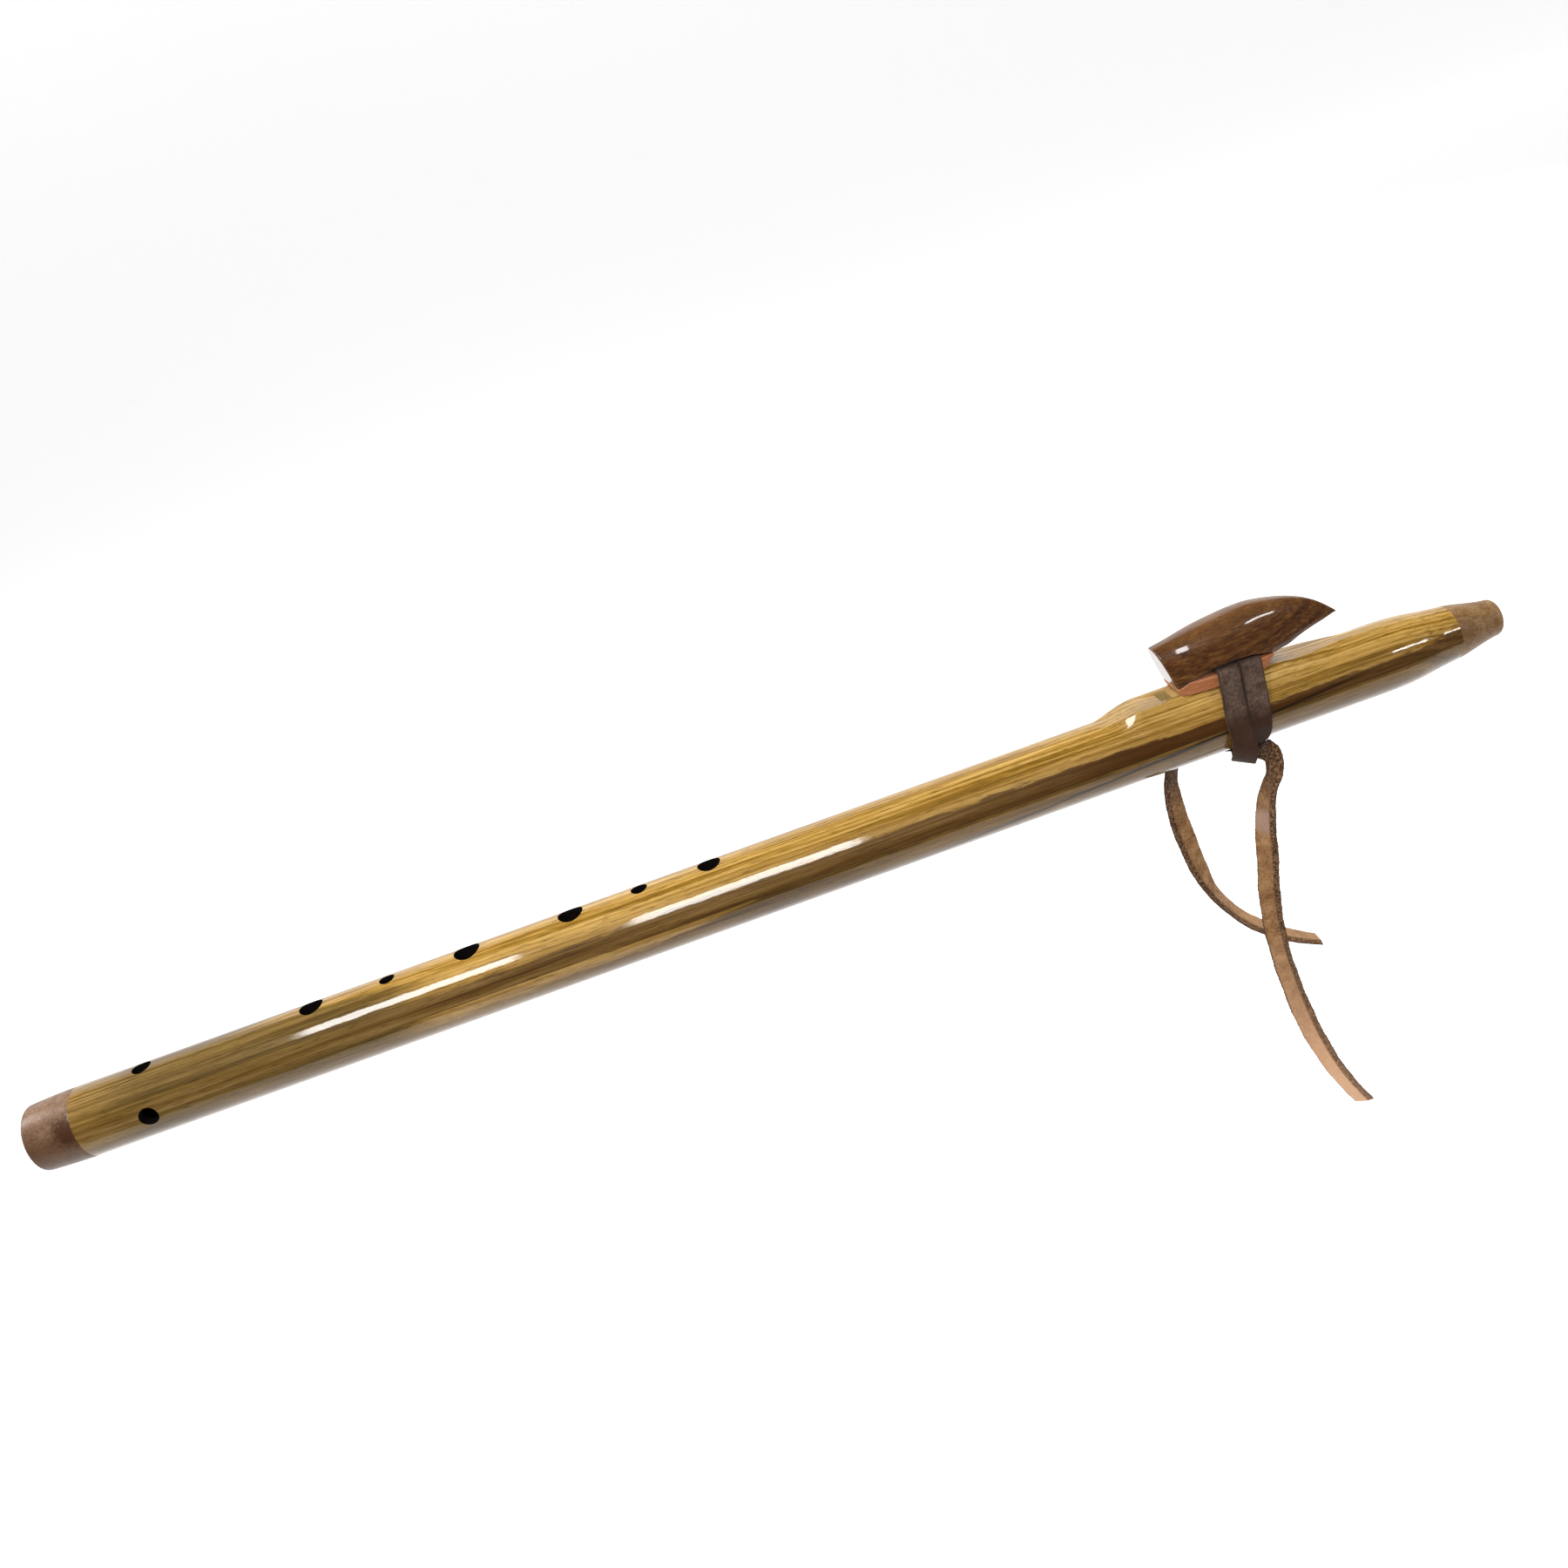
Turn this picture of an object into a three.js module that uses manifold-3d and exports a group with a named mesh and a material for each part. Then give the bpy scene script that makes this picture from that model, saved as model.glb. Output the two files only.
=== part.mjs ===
// Native American flute in two glued wooden halves, with a turned foot ring and mouthpiece,
// a carved block on a flat nest, and a leather lace wound twice round block and tube.
// Millimetres. +X points to the mouth, +Z is up through the finger holes. The origin lies on
// the underside of the tube, midway between the two places where a cradle would hold it.

import * as THREE from 'three';
import { mergeVertices } from 'three/addons/utils/BufferGeometryUtils.js';
import Module from 'manifold-3d';

const wasm = await Module();
wasm.setup();

// Tube
const tubeRadius = 16;
const edgeX = 179; // splitting edge, from the origin
const soundLength = 527.5; // splitting edge to the open foot
const headLength = 133; // splitting edge to the mouthpiece joint
const soundBoreRadius = 11.1;
const soundBorePast = 9.5; // how far the bore runs on past the splitting edge
const boreRounding = 3;
const facetCount = 64;

// Head taper, as shares of its length and of the radius it loses
const taperLength = 40;
const jointRadius = 12.5; // head end, where the mouthpiece is glued on
const taperShares = [[0, 0], [0.25, 0.03], [0.475, 0.18], [0.65, 0.45], [0.8, 0.72], [1, 1]];
const taperSteps = 10;

// Slow air chamber
const wallLength = 11.5; // solid wood left between the two chambers
const chamberRadius = 9.5;
const chamberLength = 94;
const throatLength = 12;
const breathRadius = 4;

// Turned ends
const footLength = 22.5;
const footMiddleRadius = 15.7;
const footMiddleShare = 0.5;
const footRadius = 15.1;
const footRounding = 1.3;
const footLipRounding = 0.6;
const mouthLength = 22.7;
const mouthRadius = 8.5;
const mouthRounding = 2.8;
const mouthLipRounding = 0.8;
const mouthShares = [[0, 0], [0.2, 0.2], [0.45, 0.53], [0.7, 0.85], [0.86, 1]];
const mouthSteps = 8;
const roundSteps = 4;

// Finger holes, from the mouth down, at shares of the sound length
const fingerShares = [0.398, 0.4595, 0.52, 0.611, 0.681, 0.7475];
const firstHoleRadius = 5.3;
const secondHoleRadius = 3.8;
const thirdHoleRadius = 5.8;
const fourthHoleRadius = 6;
const fifthHoleRadius = 3.5;
const sixthHoleRadius = 5.4;
const directionShare = 0.896;
const directionRadius = 4.3;
const directionCount = 4; // round the tube
const holeFacets = 28;

// Nest: the raised flat that carries the block
const nestRise = 2.4;
const nestHalfWidth = 8.3;
const nestLead = 9; // flat in front of the splitting edge
const nestRampLength = 22;
const nestRampSteps = 8;
const nestFadeLength = 45;
const nestSink = 0.4; // depth at which the ends of the nest die into the tube
const nestFadeShares = [
  [0.09, 0.82, 1], [0.22, 0.48, 0.93], [0.44, 0.33, 0.76], [0.6, 0.2, 0.58], [0.8, 0.03, 0.35],
];

// Voicing
const soundHoleLength = 5.2;
const flueLead = 2.6; // floor of the flue left bare between the sound hole and the block
const flueWidth = 11;
const flueDepth = 1;
const exitHoleLength = 7;
const exitHoleWidth = 9;
const exitHoleWall = 3; // wood between the chamber's front wall and the exit hole
const edgeRampLength = 7.5;
const edgeDrop = 0.9;

// Block: half-width, top and underside are shares along its length from the foot of its front
const blockLength = 76.9;
const blockHalfWidth = 11.6;
const blockHeight = 28.6;
const blockLean = 16.5; // degrees that the front leans over the sound hole
const blockShares = [
  [-0.14, 0.68, 0.78, 0.1],
  [0, 0.76, 0.838, 0.1],
  [0.1, 0.89, 0.887, 0.1],
  [0.2, 0.975, 0.934, 0.1],
  [0.3, 1, 0.966, 0.1],
  [0.4, 0.97, 0.993, 0.1],
  [0.5, 0.885, 1, 0.1],
  [0.58, 0.79, 0.971, 0.195],
  [0.66, 0.675, 0.925, 0.215],
  [0.74, 0.54, 0.862, 0.27],
  [0.82, 0.395, 0.768, 0.305],
  [0.89, 0.265, 0.65, 0.325],
  [0.95, 0.14, 0.51, 0.342],
  [1, 0.02, 0.375, 0.357],
];
const blockSteps = 26;
const sectionShares = [
  [0, 0], [0.9, 0], [0.98, 0.05], [1, 0.18], [0.99, 0.4],
  [0.94, 0.62], [0.83, 0.79], [0.62, 0.92], [0.33, 0.98], [0, 1],
];

// Base slab, glued under both ends of the block's arch
const baseLength = 43.2;
const baseThickness = 5.6;
const baseRearSlope = 6;
const glueGap = 0.3;
const archRadius = 54;
const archCentreShare = 0.54;
const archFacets = 120;
const tunnelClearance = 0.6;

// Lace
const laceWidth = 9.6;
const laceThickness = 1.3;
const laceGap = 0.3;
const laceTurns = 2;
const lacePitch = 10.2;
const laceStart = 35.9; // middle of its first turn at the knot, from the foot of the front
const cornerSteps = 4;
const facetSteps = 2;
const farSteps = 5; // from the knot up the far side
const nearSteps = 9; // down the near side and under the tube, back to the knot
const edgeShare = 0.86; // the lace's flat faces, as a share of its width

// Knot under the tube
const knotTurn = 38; // degrees up the far side from straight below
const knotDepth = 3;
const knotHalfWidth = 7;
const knotRounding = 1.4;
const foldDepth = 3.4;

// Free tails, from where each leaves the knot
const tailEdgeShare = 0.5; // thickness left at the lace's cut edges
const tailSteps = 36;
const nearExitAlong = -4; // from the middle of the near fold
const farExitAcross = 1;
const nearTailRoute = [
  [0, 0, 0], [0, -1.7, -1.3], [0, -5.1, -1.8], [0.1, -8.9, -1.1], [0.4, -12.9, -0.2],
  [0.7, -16.3, -0.8], [0.3, -18.5, -3.9], [-1.1, -19.3, -8.7], [-3.5, -18.7, -13.9],
  [-5.4, -17.3, -20.4], [-6.8, -15.9, -28.4], [-7.9, -14.8, -37.4], [-8.7, -14.2, -47.9],
  [-10, -13.8, -59.4], [-11.3, -13.5, -70.9], [-11.9, -13.1, -83.9], [-11.8, -12.9, -97.4],
  [-10.9, -12.9, -110.9], [-9.3, -12.9, -124.4], [-7.1, -12.9, -138.9], [-4.1, -12.9, -153.9],
  [-0.1, -12.9, -168.9], [4.7, -12.9, -183.3], [10.3, -12.9, -196.5], [15.9, -12.9, -207.8],
];
const farTailRoute = [
  [0, 0, 0], [-3.2, 0.1, -0.2], [-7, 0.5, -1.7], [-10.8, 1.2, -4.9], [-13.8, 1.9, -9.9],
  [-15.8, 2.5, -16.5], [-16.4, 3, -24.3], [-16.2, 3.3, -33.3], [-15.2, 3.3, -44.3], [-13.6, 3.3, -56],
  [-11.3, 3.3, -68], [-8, 3.3, -80], [-2.6, 3.3, -91.3], [4.2, 3.3, -101.6], [12.6, 3.3, -110.6],
  [22.2, 3.3, -118.6], [32.8, 3.3, -125.6], [39.4, 3.3, -129.2],
];

const cutOver = 4; // how far every cutter runs past the wood

// Finishes
const upperWood = 0xc89a4e;
const lowerWood = 0xa97f42;
const footWalnut = 0x9a735c;
const mouthWalnut = 0x80664f;
const blockWalnut = 0x5e3c28;
const baseWood = 0xbf7a56;
const grainLeather = 0x5a4234;
const suede = 0x8f6c50;
const polished = 0.25;
const buffed = 0.35;
const leathery = 0.7;

// Places that follow from the sizes above
const soundHoleEndX = edgeX + soundHoleLength;
const footX = edgeX - soundLength;
const ringX = footX + footLength;
const jointX = edgeX + headLength;
const taperX = jointX - taperLength;
const boreEndX = edgeX + soundBorePast;
const chamberX = boreEndX + wallLength;
const chamberEndX = chamberX + chamberLength;
const exitX = chamberX + exitHoleWall;
const nestTop = tubeRadius + nestRise;
const crownZ = nestTop + baseThickness;
const frontX = soundHoleEndX + flueLead; // foot of the block's front
const baseEndX = frontX + baseLength;
const laceMiddleX = frontX + laceStart;
const laceRadius = tubeRadius + laceGap + laceThickness / 2;
const archX = frontX + baseLength * archCentreShare;
const knotLean = THREE.MathUtils.degToRad(knotTurn);

function mesh(name, geometry, color, roughness) {
  const material = new THREE.MeshStandardMaterial({ color, roughness, metalness: 0 });
  const made = new THREE.Mesh(geometry, material);
  made.name = name;
  return made;
}

// A closed geometry as a solid that can be joined and cut
function solid(geometry) {
  const bare = geometry.clone();
  bare.deleteAttribute('normal');
  bare.deleteAttribute('uv');
  const merged = mergeVertices(bare);
  const vertProperties = merged.attributes.position.array;
  const triVerts = new Uint32Array(merged.index.array);
  return new wasm.Manifold(new wasm.Mesh({ numProp: 3, vertProperties, triVerts }));
}

function geometryOf(part) {
  const { vertProperties, triVerts } = part.getMesh();
  const geometry = new THREE.BufferGeometry();
  geometry.setAttribute('position', new THREE.BufferAttribute(new Float32Array(vertProperties), 3));
  geometry.setIndex(new THREE.BufferAttribute(new Uint32Array(triVerts), 1));
  return geometry;
}

// A profile of [x, radius] points turned about the X axis
function turned(profile) {
  const points = profile.map(([x, radius]) => new THREE.Vector2(radius, x));
  return new THREE.LatheGeometry(points, facetCount).rotateZ(-Math.PI / 2);
}

// A shape drawn in X and Z, as wide as it is deep across Y, centred on the axis
function prism(points, width) {
  const shape = new THREE.Shape(points.map(([x, z]) => new THREE.Vector2(x, z)));
  const geometry = new THREE.ExtrudeGeometry(shape, { depth: width, bevelEnabled: false });
  return geometry.rotateX(Math.PI / 2).translate(0, width / 2, 0);
}

function slot(x0, x1, z0, z1, width) {
  const box = new THREE.BoxGeometry(x1 - x0, width, z1 - z0);
  return box.translate((x0 + x1) / 2, 0, (z0 + z1) / 2);
}

// Rings of points joined into one skin, with a cap at each end
function loft(rings) {
  const count = rings[0].length;
  const centre = (ring) => ring.reduce((sum, p) => sum.add(p), new THREE.Vector3()).divideScalar(count);
  const points = [...rings.flat(), centre(rings[0]), centre(rings.at(-1))];
  const faces = [];
  for (let i = 0; i < rings.length - 1; i++) {
    for (let j = 0; j < count; j++) {
      const a = i * count + j;
      const b = i * count + (j + 1) % count;
      faces.push(a, b, a + count, b, b + count, a + count);
    }
  }
  const first = points.length - 2;
  const lastRing = (rings.length - 1) * count;
  for (let j = 0; j < count; j++) {
    const next = (j + 1) % count;
    faces.push(first, next, j);
    faces.push(first + 1, lastRing + j, lastRing + next);
  }
  const geometry = new THREE.BufferGeometry().setFromPoints(points);
  return geometry.setIndex(faces);
}

// A quarter round from one direction to the next about a centre, in a profile of [x, radius]
function quarter(x, radius, size, start) {
  return Array.from({ length: roundSteps + 1 }, (_, i) => {
    const turn = start + (i / roundSteps) * (Math.PI / 2);
    return [x + size * Math.cos(turn), radius + size * Math.sin(turn)];
  });
}

function tapered(x, length, fromRadius, toRadius, shares, steps) {
  const curve = new THREE.SplineCurve(shares.map(([along, drop]) => new THREE.Vector2(along, drop)));
  return curve.getPoints(steps).map((p) => [x + length * p.x, fromRadius + (toRadius - fromRadius) * p.y]);
}

// Section of the nest: a flat top whose sides run down as tangents to the round tube
function nestRing(x, top, halfWidth) {
  const reach = Math.max(Math.hypot(top, halfWidth), tubeRadius);
  const corner = Math.atan2(halfWidth, top);
  const tangent = corner + Math.acos(tubeRadius / reach);
  const side = tubeRadius - nestSink * (tubeRadius / reach);
  const y = side * Math.sin(tangent);
  const z = side * Math.cos(tangent);
  return [[-halfWidth, top], [-y, z], [0, 0], [y, z], [halfWidth, top]].map(
    ([across, up]) => new THREE.Vector3(x, across, up),
  );
}

function nest() {
  const start = edgeX - nestLead - nestRampLength;
  const low = tubeRadius - nestSink;
  const rings = [];
  for (let i = 0; i <= nestRampSteps; i++) {
    const t = i / nestRampSteps;
    const rise = t * t * (3 - 2 * t);
    const halfWidth = nestHalfWidth * (nestSink + (1 - nestSink) * Math.sqrt(rise));
    rings.push(nestRing(start + nestRampLength * t, low + (nestTop - low) * rise, halfWidth));
  }
  rings.push(nestRing(baseEndX, nestTop, nestHalfWidth));
  for (const [along, height, width] of nestFadeShares) {
    const top = tubeRadius + nestRise * height;
    rings.push(nestRing(baseEndX + nestFadeLength * along, top, nestHalfWidth * width));
  }
  rings.push(nestRing(baseEndX + nestFadeLength, low, nestHalfWidth * nestSink));
  return solid(loft(rings));
}

// A round hole bored from the axis outwards, turned about X from the top
function radialHole(x, radius, turn) {
  const depth = nestTop + cutOver;
  const drill = new THREE.CylinderGeometry(radius, radius, depth, holeFacets);
  return solid(drill.rotateX(Math.PI / 2).translate(0, 0, depth / 2).rotateX(turn).translate(x, 0, 0));
}

function soundBore() {
  const round = quarter(boreEndX - boreRounding, soundBoreRadius - boreRounding, boreRounding, 0).reverse();
  return solid(turned([[footX - cutOver, 0], [footX - cutOver, soundBoreRadius], ...round, [boreEndX, 0]]));
}

function airChamber() {
  return solid(turned([
    [chamberX, 0],
    [chamberX, chamberRadius - boreRounding],
    [chamberX + boreRounding, chamberRadius],
    [chamberEndX, chamberRadius],
    [chamberEndX + throatLength, breathRadius],
    [jointX + cutOver, breathRadius],
    [jointX + cutOver, 0],
  ]));
}

// Flue, sound hole, splitting edge and the hole by which the air leaves the chamber
function voicing() {
  const over = nestTop + cutOver;
  const flueX = edgeX + soundHoleLength / 2;
  const exitEndX = exitX + exitHoleLength;
  const soundHole = solid(slot(edgeX, soundHoleEndX, 0, over, flueWidth));
  const flue = solid(slot(flueX, exitEndX, nestTop - flueDepth, over, flueWidth));
  const exit = solid(slot(exitX, exitEndX, 0, over, exitHoleWidth));
  const edge = solid(prism([
    [edgeX - edgeRampLength, nestTop],
    [edgeX, nestTop - edgeDrop],
    [flueX, nestTop - edgeDrop],
    [flueX, over],
    [edgeX - edgeRampLength, over],
  ], flueWidth));
  return soundHole.add(flue).add(exit).add(edge);
}

function wholeTube() {
  const taper = tapered(taperX, taperLength, tubeRadius, jointRadius, taperShares, taperSteps);
  let tube = solid(turned([[ringX, 0], [ringX, tubeRadius], ...taper, [jointX, 0]])).add(nest());
  tube = tube.subtract(soundBore()).subtract(airChamber()).subtract(voicing());
  const radii = [
    firstHoleRadius, secondHoleRadius, thirdHoleRadius, fourthHoleRadius, fifthHoleRadius, sixthHoleRadius,
  ];
  fingerShares.forEach((share, i) => {
    tube = tube.subtract(radialHole(edgeX - soundLength * share, radii[i], 0));
  });
  const directionX = edgeX - soundLength * directionShare;
  for (let i = 0; i < directionCount; i++) {
    const turn = (i / directionCount) * 2 * Math.PI;
    tube = tube.subtract(radialHole(directionX, directionRadius, turn));
  }
  return tube;
}

// The tube is sawn in two along its axis, hollowed and glued
function tubeHalf(tube, side) {
  const reach = nestTop + cutOver;
  const low = Math.min(0, side * reach);
  const high = Math.max(0, side * reach);
  return geometryOf(tube.intersect(solid(slot(ringX - cutOver, jointX + cutOver, low, high, 2 * reach))));
}

function footRing() {
  const rim = quarter(footX + footRounding, footRadius - footRounding, footRounding, Math.PI / 2).reverse();
  const lipRadius = soundBoreRadius + footLipRounding;
  const lip = quarter(footX + footLipRounding, lipRadius, footLipRounding, Math.PI).reverse();
  return turned([
    [ringX, soundBoreRadius],
    ...lip,
    ...rim,
    [footX + footLength * footMiddleShare, footMiddleRadius],
    [ringX, tubeRadius],
    [ringX, soundBoreRadius],
  ]);
}

function mouthpiece() {
  const endX = jointX + mouthLength;
  const side = tapered(jointX, mouthLength, jointRadius, mouthRadius, mouthShares, mouthSteps);
  const rim = quarter(endX - mouthRounding, mouthRadius - mouthRounding, mouthRounding, 0).reverse();
  const lipRadius = breathRadius + mouthLipRounding;
  const lip = quarter(endX - mouthLipRounding, lipRadius, mouthLipRounding, -Math.PI / 2).reverse();
  return turned([[jointX, breathRadius], ...side, ...rim, ...lip, [jointX, breathRadius]]);
}

function blockCurve(column) {
  return new THREE.SplineCurve(blockShares.map((row) => new THREE.Vector2(row[0], row[column])));
}

function blockRing(x, halfWidth, low, high) {
  const right = sectionShares.map(
    ([across, up]) => new THREE.Vector3(x, across * halfWidth, low + (high - low) * up),
  );
  const left = right.slice(1, -1).map((p) => new THREE.Vector3(p.x, -p.y, p.z));
  return [...right, ...left.reverse()];
}

// Everything in front of the leaning face, for block and base alike
function frontCut() {
  const lean = Math.tan(THREE.MathUtils.degToRad(blockLean));
  const top = nestTop + blockHeight + cutOver;
  const low = nestTop - cutOver;
  return solid(prism([
    [frontX + cutOver * lean, low],
    [frontX - (top - nestTop) * lean, top],
    [frontX - blockLength, top],
    [frontX - blockLength, low],
  ], 4 * blockHalfWidth));
}

// Cylinder under the arch; its crown leaves room for the lace even at the lace's far edge
function archCylinder(radius) {
  const reach = laceMiddleX + laceWidth / 2 - lacePitch / 2 - archX;
  const fall = archRadius - Math.sqrt(archRadius ** 2 - reach ** 2);
  const apex = crownZ + laceGap + laceThickness + tunnelClearance + fall;
  const cylinder = new THREE.CylinderGeometry(radius, radius, 4 * blockHalfWidth, archFacets);
  return solid(cylinder.translate(archX, 0, apex - archRadius));
}

function block() {
  const curves = [1, 2, 3].map(blockCurve);
  const rings = Array.from({ length: blockSteps + 1 }, (_, i) => {
    const [width, top, under] = curves.map((curve) => curve.getPoint(i / blockSteps));
    const x = frontX + blockLength * width.x;
    const [low, high] = [under, top].map((p) => nestTop + blockHeight * p.y);
    return blockRing(x, blockHalfWidth * width.y, low, high);
  });
  return geometryOf(solid(loft(rings)).subtract(archCylinder(archRadius)).subtract(frontCut()));
}

function blockBase() {
  const widths = blockCurve(1).getPoints(blockSteps);
  const side = widths.filter((p) => p.x * blockLength < baseLength + cutOver).map(
    (p) => new THREE.Vector2(frontX + blockLength * p.x, blockHalfWidth * p.y),
  );
  const plan = new THREE.Shape([...side, ...side.map((p) => new THREE.Vector2(p.x, -p.y)).reverse()]);
  const slab = new THREE.ExtrudeGeometry(plan, { depth: baseThickness, bevelEnabled: false });
  const rear = solid(prism([
    [baseEndX - baseRearSlope * (1 + cutOver / baseThickness), nestTop - cutOver],
    [baseEndX + 2 * cutOver, nestTop - cutOver],
    [baseEndX + 2 * cutOver, crownZ + cutOver],
    [baseEndX + baseRearSlope * (cutOver / baseThickness), crownZ + cutOver],
  ], 4 * blockHalfWidth));
  const cut = solid(slab.translate(0, 0, nestTop)).subtract(rear).subtract(frontCut());
  return geometryOf(cut.intersect(archCylinder(archRadius - glueGap)));
}

// One turn of the lace seen along the tube, from the knot up the far side, over the base, down the
// near side and under the tube: each stop has its place and the direction that faces outwards.
function laceTurn() {
  const bend = laceGap + laceThickness / 2;
  const cornerTurn = Math.atan2(blockHalfWidth, crownZ);
  const tangent = cornerTurn + Math.acos(tubeRadius / Math.hypot(blockHalfWidth, crownZ));
  const stop = (y, z, turn) => ({ y, z, outY: Math.sin(turn), outZ: Math.cos(turn) });
  const round = (y, z, radius, turn) => stop(y + radius * Math.sin(turn), z + radius * Math.cos(turn), turn);
  const onTube = (turn) => round(0, 0, laceRadius, turn);
  const onCorner = (turn) => round(blockHalfWidth, crownZ, bend, turn);
  const roundTube = (from, to, steps) => (
    Array.from({ length: steps + 1 }, (_, i) => onTube(from + (to - from) * (i / steps)))
  );
  const start = Math.PI - knotLean;
  const far = [];
  const low = onTube(tangent);
  const high = onCorner(tangent);
  for (let i = 1; i < facetSteps; i++) {
    const t = i / facetSteps;
    far.push(stop(low.y + (high.y - low.y) * t, low.z + (high.z - low.z) * t, tangent));
  }
  for (let i = 0; i <= cornerSteps; i++) {
    far.push(onCorner(tangent * (1 - i / cornerSteps)));
  }
  const near = far.map((s) => ({ y: -s.y, z: s.z, outY: -s.outY, outZ: s.outZ })).reverse();
  const rise = roundTube(start, tangent, farSteps);
  const fall = roundTube(-tangent, start - 2 * Math.PI, nearSteps);
  return [...rise, ...far, ...near, ...fall];
}

// The winding is one band: straight over the knot at both ends, and a steady helix between
function laceStops() {
  const turn = laceTurn();
  const overKnot = (across) => {
    const [y, z] = leaned(across, -laceRadius);
    const [outY, outZ] = leaned(0, -1);
    return { y, z, outY, outZ };
  };
  const stops = [overKnot(-laceWidth / 2)];
  for (let i = 0; i < laceTurns; i++) {
    stops.push(...(i ? turn.slice(1) : turn));
  }
  stops.push(overKnot(laceWidth / 2));
  let run = 0;
  const runs = stops.map((s, i) => {
    run += i > 1 && i < stops.length - 1 ? Math.hypot(s.y - stops[i - 1].y, s.z - stops[i - 1].z) : 0;
    return run;
  });
  return stops.map((s, i) => ({ ...s, x: laceMiddleX - (lacePitch * laceTurns * runs[i]) / run }));
}

function laceWinding() {
  const stops = laceStops();
  const half = laceWidth / 2;
  const flat = half * edgeShare;
  const thick = laceThickness / 2;
  const section = [[half, 0], [flat, thick], [-flat, thick], [-half, 0], [-flat, -thick], [flat, -thick]];
  const rings = stops.map((s, i) => {
    const before = stops[Math.max(i - 1, 0)];
    const after = stops[Math.min(i + 1, stops.length - 1)];
    const out = new THREE.Vector3(0, s.outY, s.outZ);
    const along = new THREE.Vector3(after.x - before.x, after.y - before.y, after.z - before.z);
    const across = new THREE.Vector3().crossVectors(out, along).normalize();
    const middle = new THREE.Vector3(s.x, s.y, s.z);
    return section.map(([w, t]) => middle.clone().addScaledVector(across, w).addScaledVector(out, t));
  });
  console.log(`least gap of the lace to itself: ${leastGap(rings).toFixed(2)} mm`);
  return loft(rings);
}

// Least distance between a ring's points and any ring at least half a turn further on
function leastGap(rings) {
  const apart = Math.floor(rings.length / laceTurns / 2);
  let least = Infinity;
  for (let i = 0; i < rings.length; i++) {
    for (let j = i + apart; j < rings.length - 1; j++) {
      for (const p of rings[i]) {
        for (let k = 0; k < rings[j].length; k++) {
          const edge = new THREE.Line3(rings[j][k], rings[j + 1][k]);
          least = Math.min(least, edge.closestPointToPoint(p, true, new THREE.Vector3()).distanceTo(p));
        }
      }
    }
  }
  return least;
}

// A place across and up, drawn straight below the tube and leaned to where the knot lies
function leaned(across, up) {
  const cos = Math.cos(knotLean);
  const sin = Math.sin(knotLean);
  return [across * cos - up * sin, across * sin + up * cos];
}

// Knot: a bar of doubled lace under the turns, with a fold at each end of the winding
function laceKnot() {
  const top = -(tubeRadius + 2 * laceGap + laceThickness);
  const low = top - knotDepth;
  const foldIn = laceWidth / 2 + laceGap;
  const foldOut = foldIn + foldDepth;
  const foldTop = -(tubeRadius + laceGap);
  const farX = laceMiddleX - lacePitch * laceTurns;
  const roundIn = knotHalfWidth - knotRounding;
  const roundUp = low + knotRounding;
  const bar = extrudeAlongX([
    [-knotHalfWidth, top], [knotHalfWidth, top], [knotHalfWidth, roundUp],
    [roundIn, low], [-roundIn, low], [-knotHalfWidth, roundUp],
  ], farX - laceWidth / 2, laceMiddleX + laceWidth / 2);
  const fold = [
    [foldIn, foldTop], [foldOut - knotRounding, foldTop], [foldOut, foldTop - knotRounding],
    [foldOut, roundUp], [foldOut - knotRounding, low], [foldIn, low],
  ];
  const otherFold = fold.map(([y, z]) => [-y, z]);
  const far = extrudeAlongX(fold, farX - laceWidth / 2, farX + laceWidth / 2);
  const near = extrudeAlongX(otherFold, laceMiddleX - laceWidth / 2, laceMiddleX + laceWidth / 2);
  return geometryOf(solid(bar).add(solid(far)).add(solid(near))).rotateX(knotLean);
}

// A shape drawn in Y and Z and carried along X
function extrudeAlongX(points, x0, x1) {
  const shape = new THREE.Shape(points.map(([y, z]) => new THREE.Vector2(y, z)));
  const geometry = new THREE.ExtrudeGeometry(shape, { depth: x1 - x0, bevelEnabled: false });
  return geometry.rotateX(Math.PI / 2).rotateZ(Math.PI / 2).translate(x0, 0, 0);
}

// A flat lace that hangs along a route of hand-chosen points. At its start the section's first
// direction lies along X for a lace that leaves across the tube, and up for one that leaves along
// it, and the roll turns the lace flat against the knot.
function laceTail(route, roll) {
  const curve = new THREE.CatmullRomCurve3(route.map((p) => new THREE.Vector3(...p)), false, 'centripetal');
  const half = laceWidth / 2;
  const flat = half * edgeShare;
  const thick = laceThickness / 2;
  const thin = thick * tailEdgeShare;
  const side = [[half, -thin], [half, thin], [flat, thick], [-flat, thick]];
  const outline = [...side, ...side.map(([w, t]) => [-w, -t])];
  const [cos, sin] = [Math.cos(roll), Math.sin(roll)];
  const section = outline.map(([w, t]) => new THREE.Vector2(w * cos - t * sin, w * sin + t * cos));
  return new THREE.ExtrudeGeometry(new THREE.Shape(section), { steps: tailSteps, extrudePath: curve });
}

// Where the two tails leave the knot
function placeTails(near, far) {
  const barLow = -(tubeRadius + 2 * laceGap + laceThickness + knotDepth);
  const barMiddle = barLow + knotDepth / 2;
  const foldMiddle = (barLow - tubeRadius - laceGap) / 2;
  const foldOut = laceWidth / 2 + 2 * laceGap + foldDepth;
  near.position.set(laceMiddleX + nearExitAlong, ...leaned(-foldOut, foldMiddle));
  const farX = laceMiddleX - lacePitch * laceTurns - laceWidth / 2 - laceGap;
  far.position.set(farX, ...leaned(farExitAcross, barMiddle));
}

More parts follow.
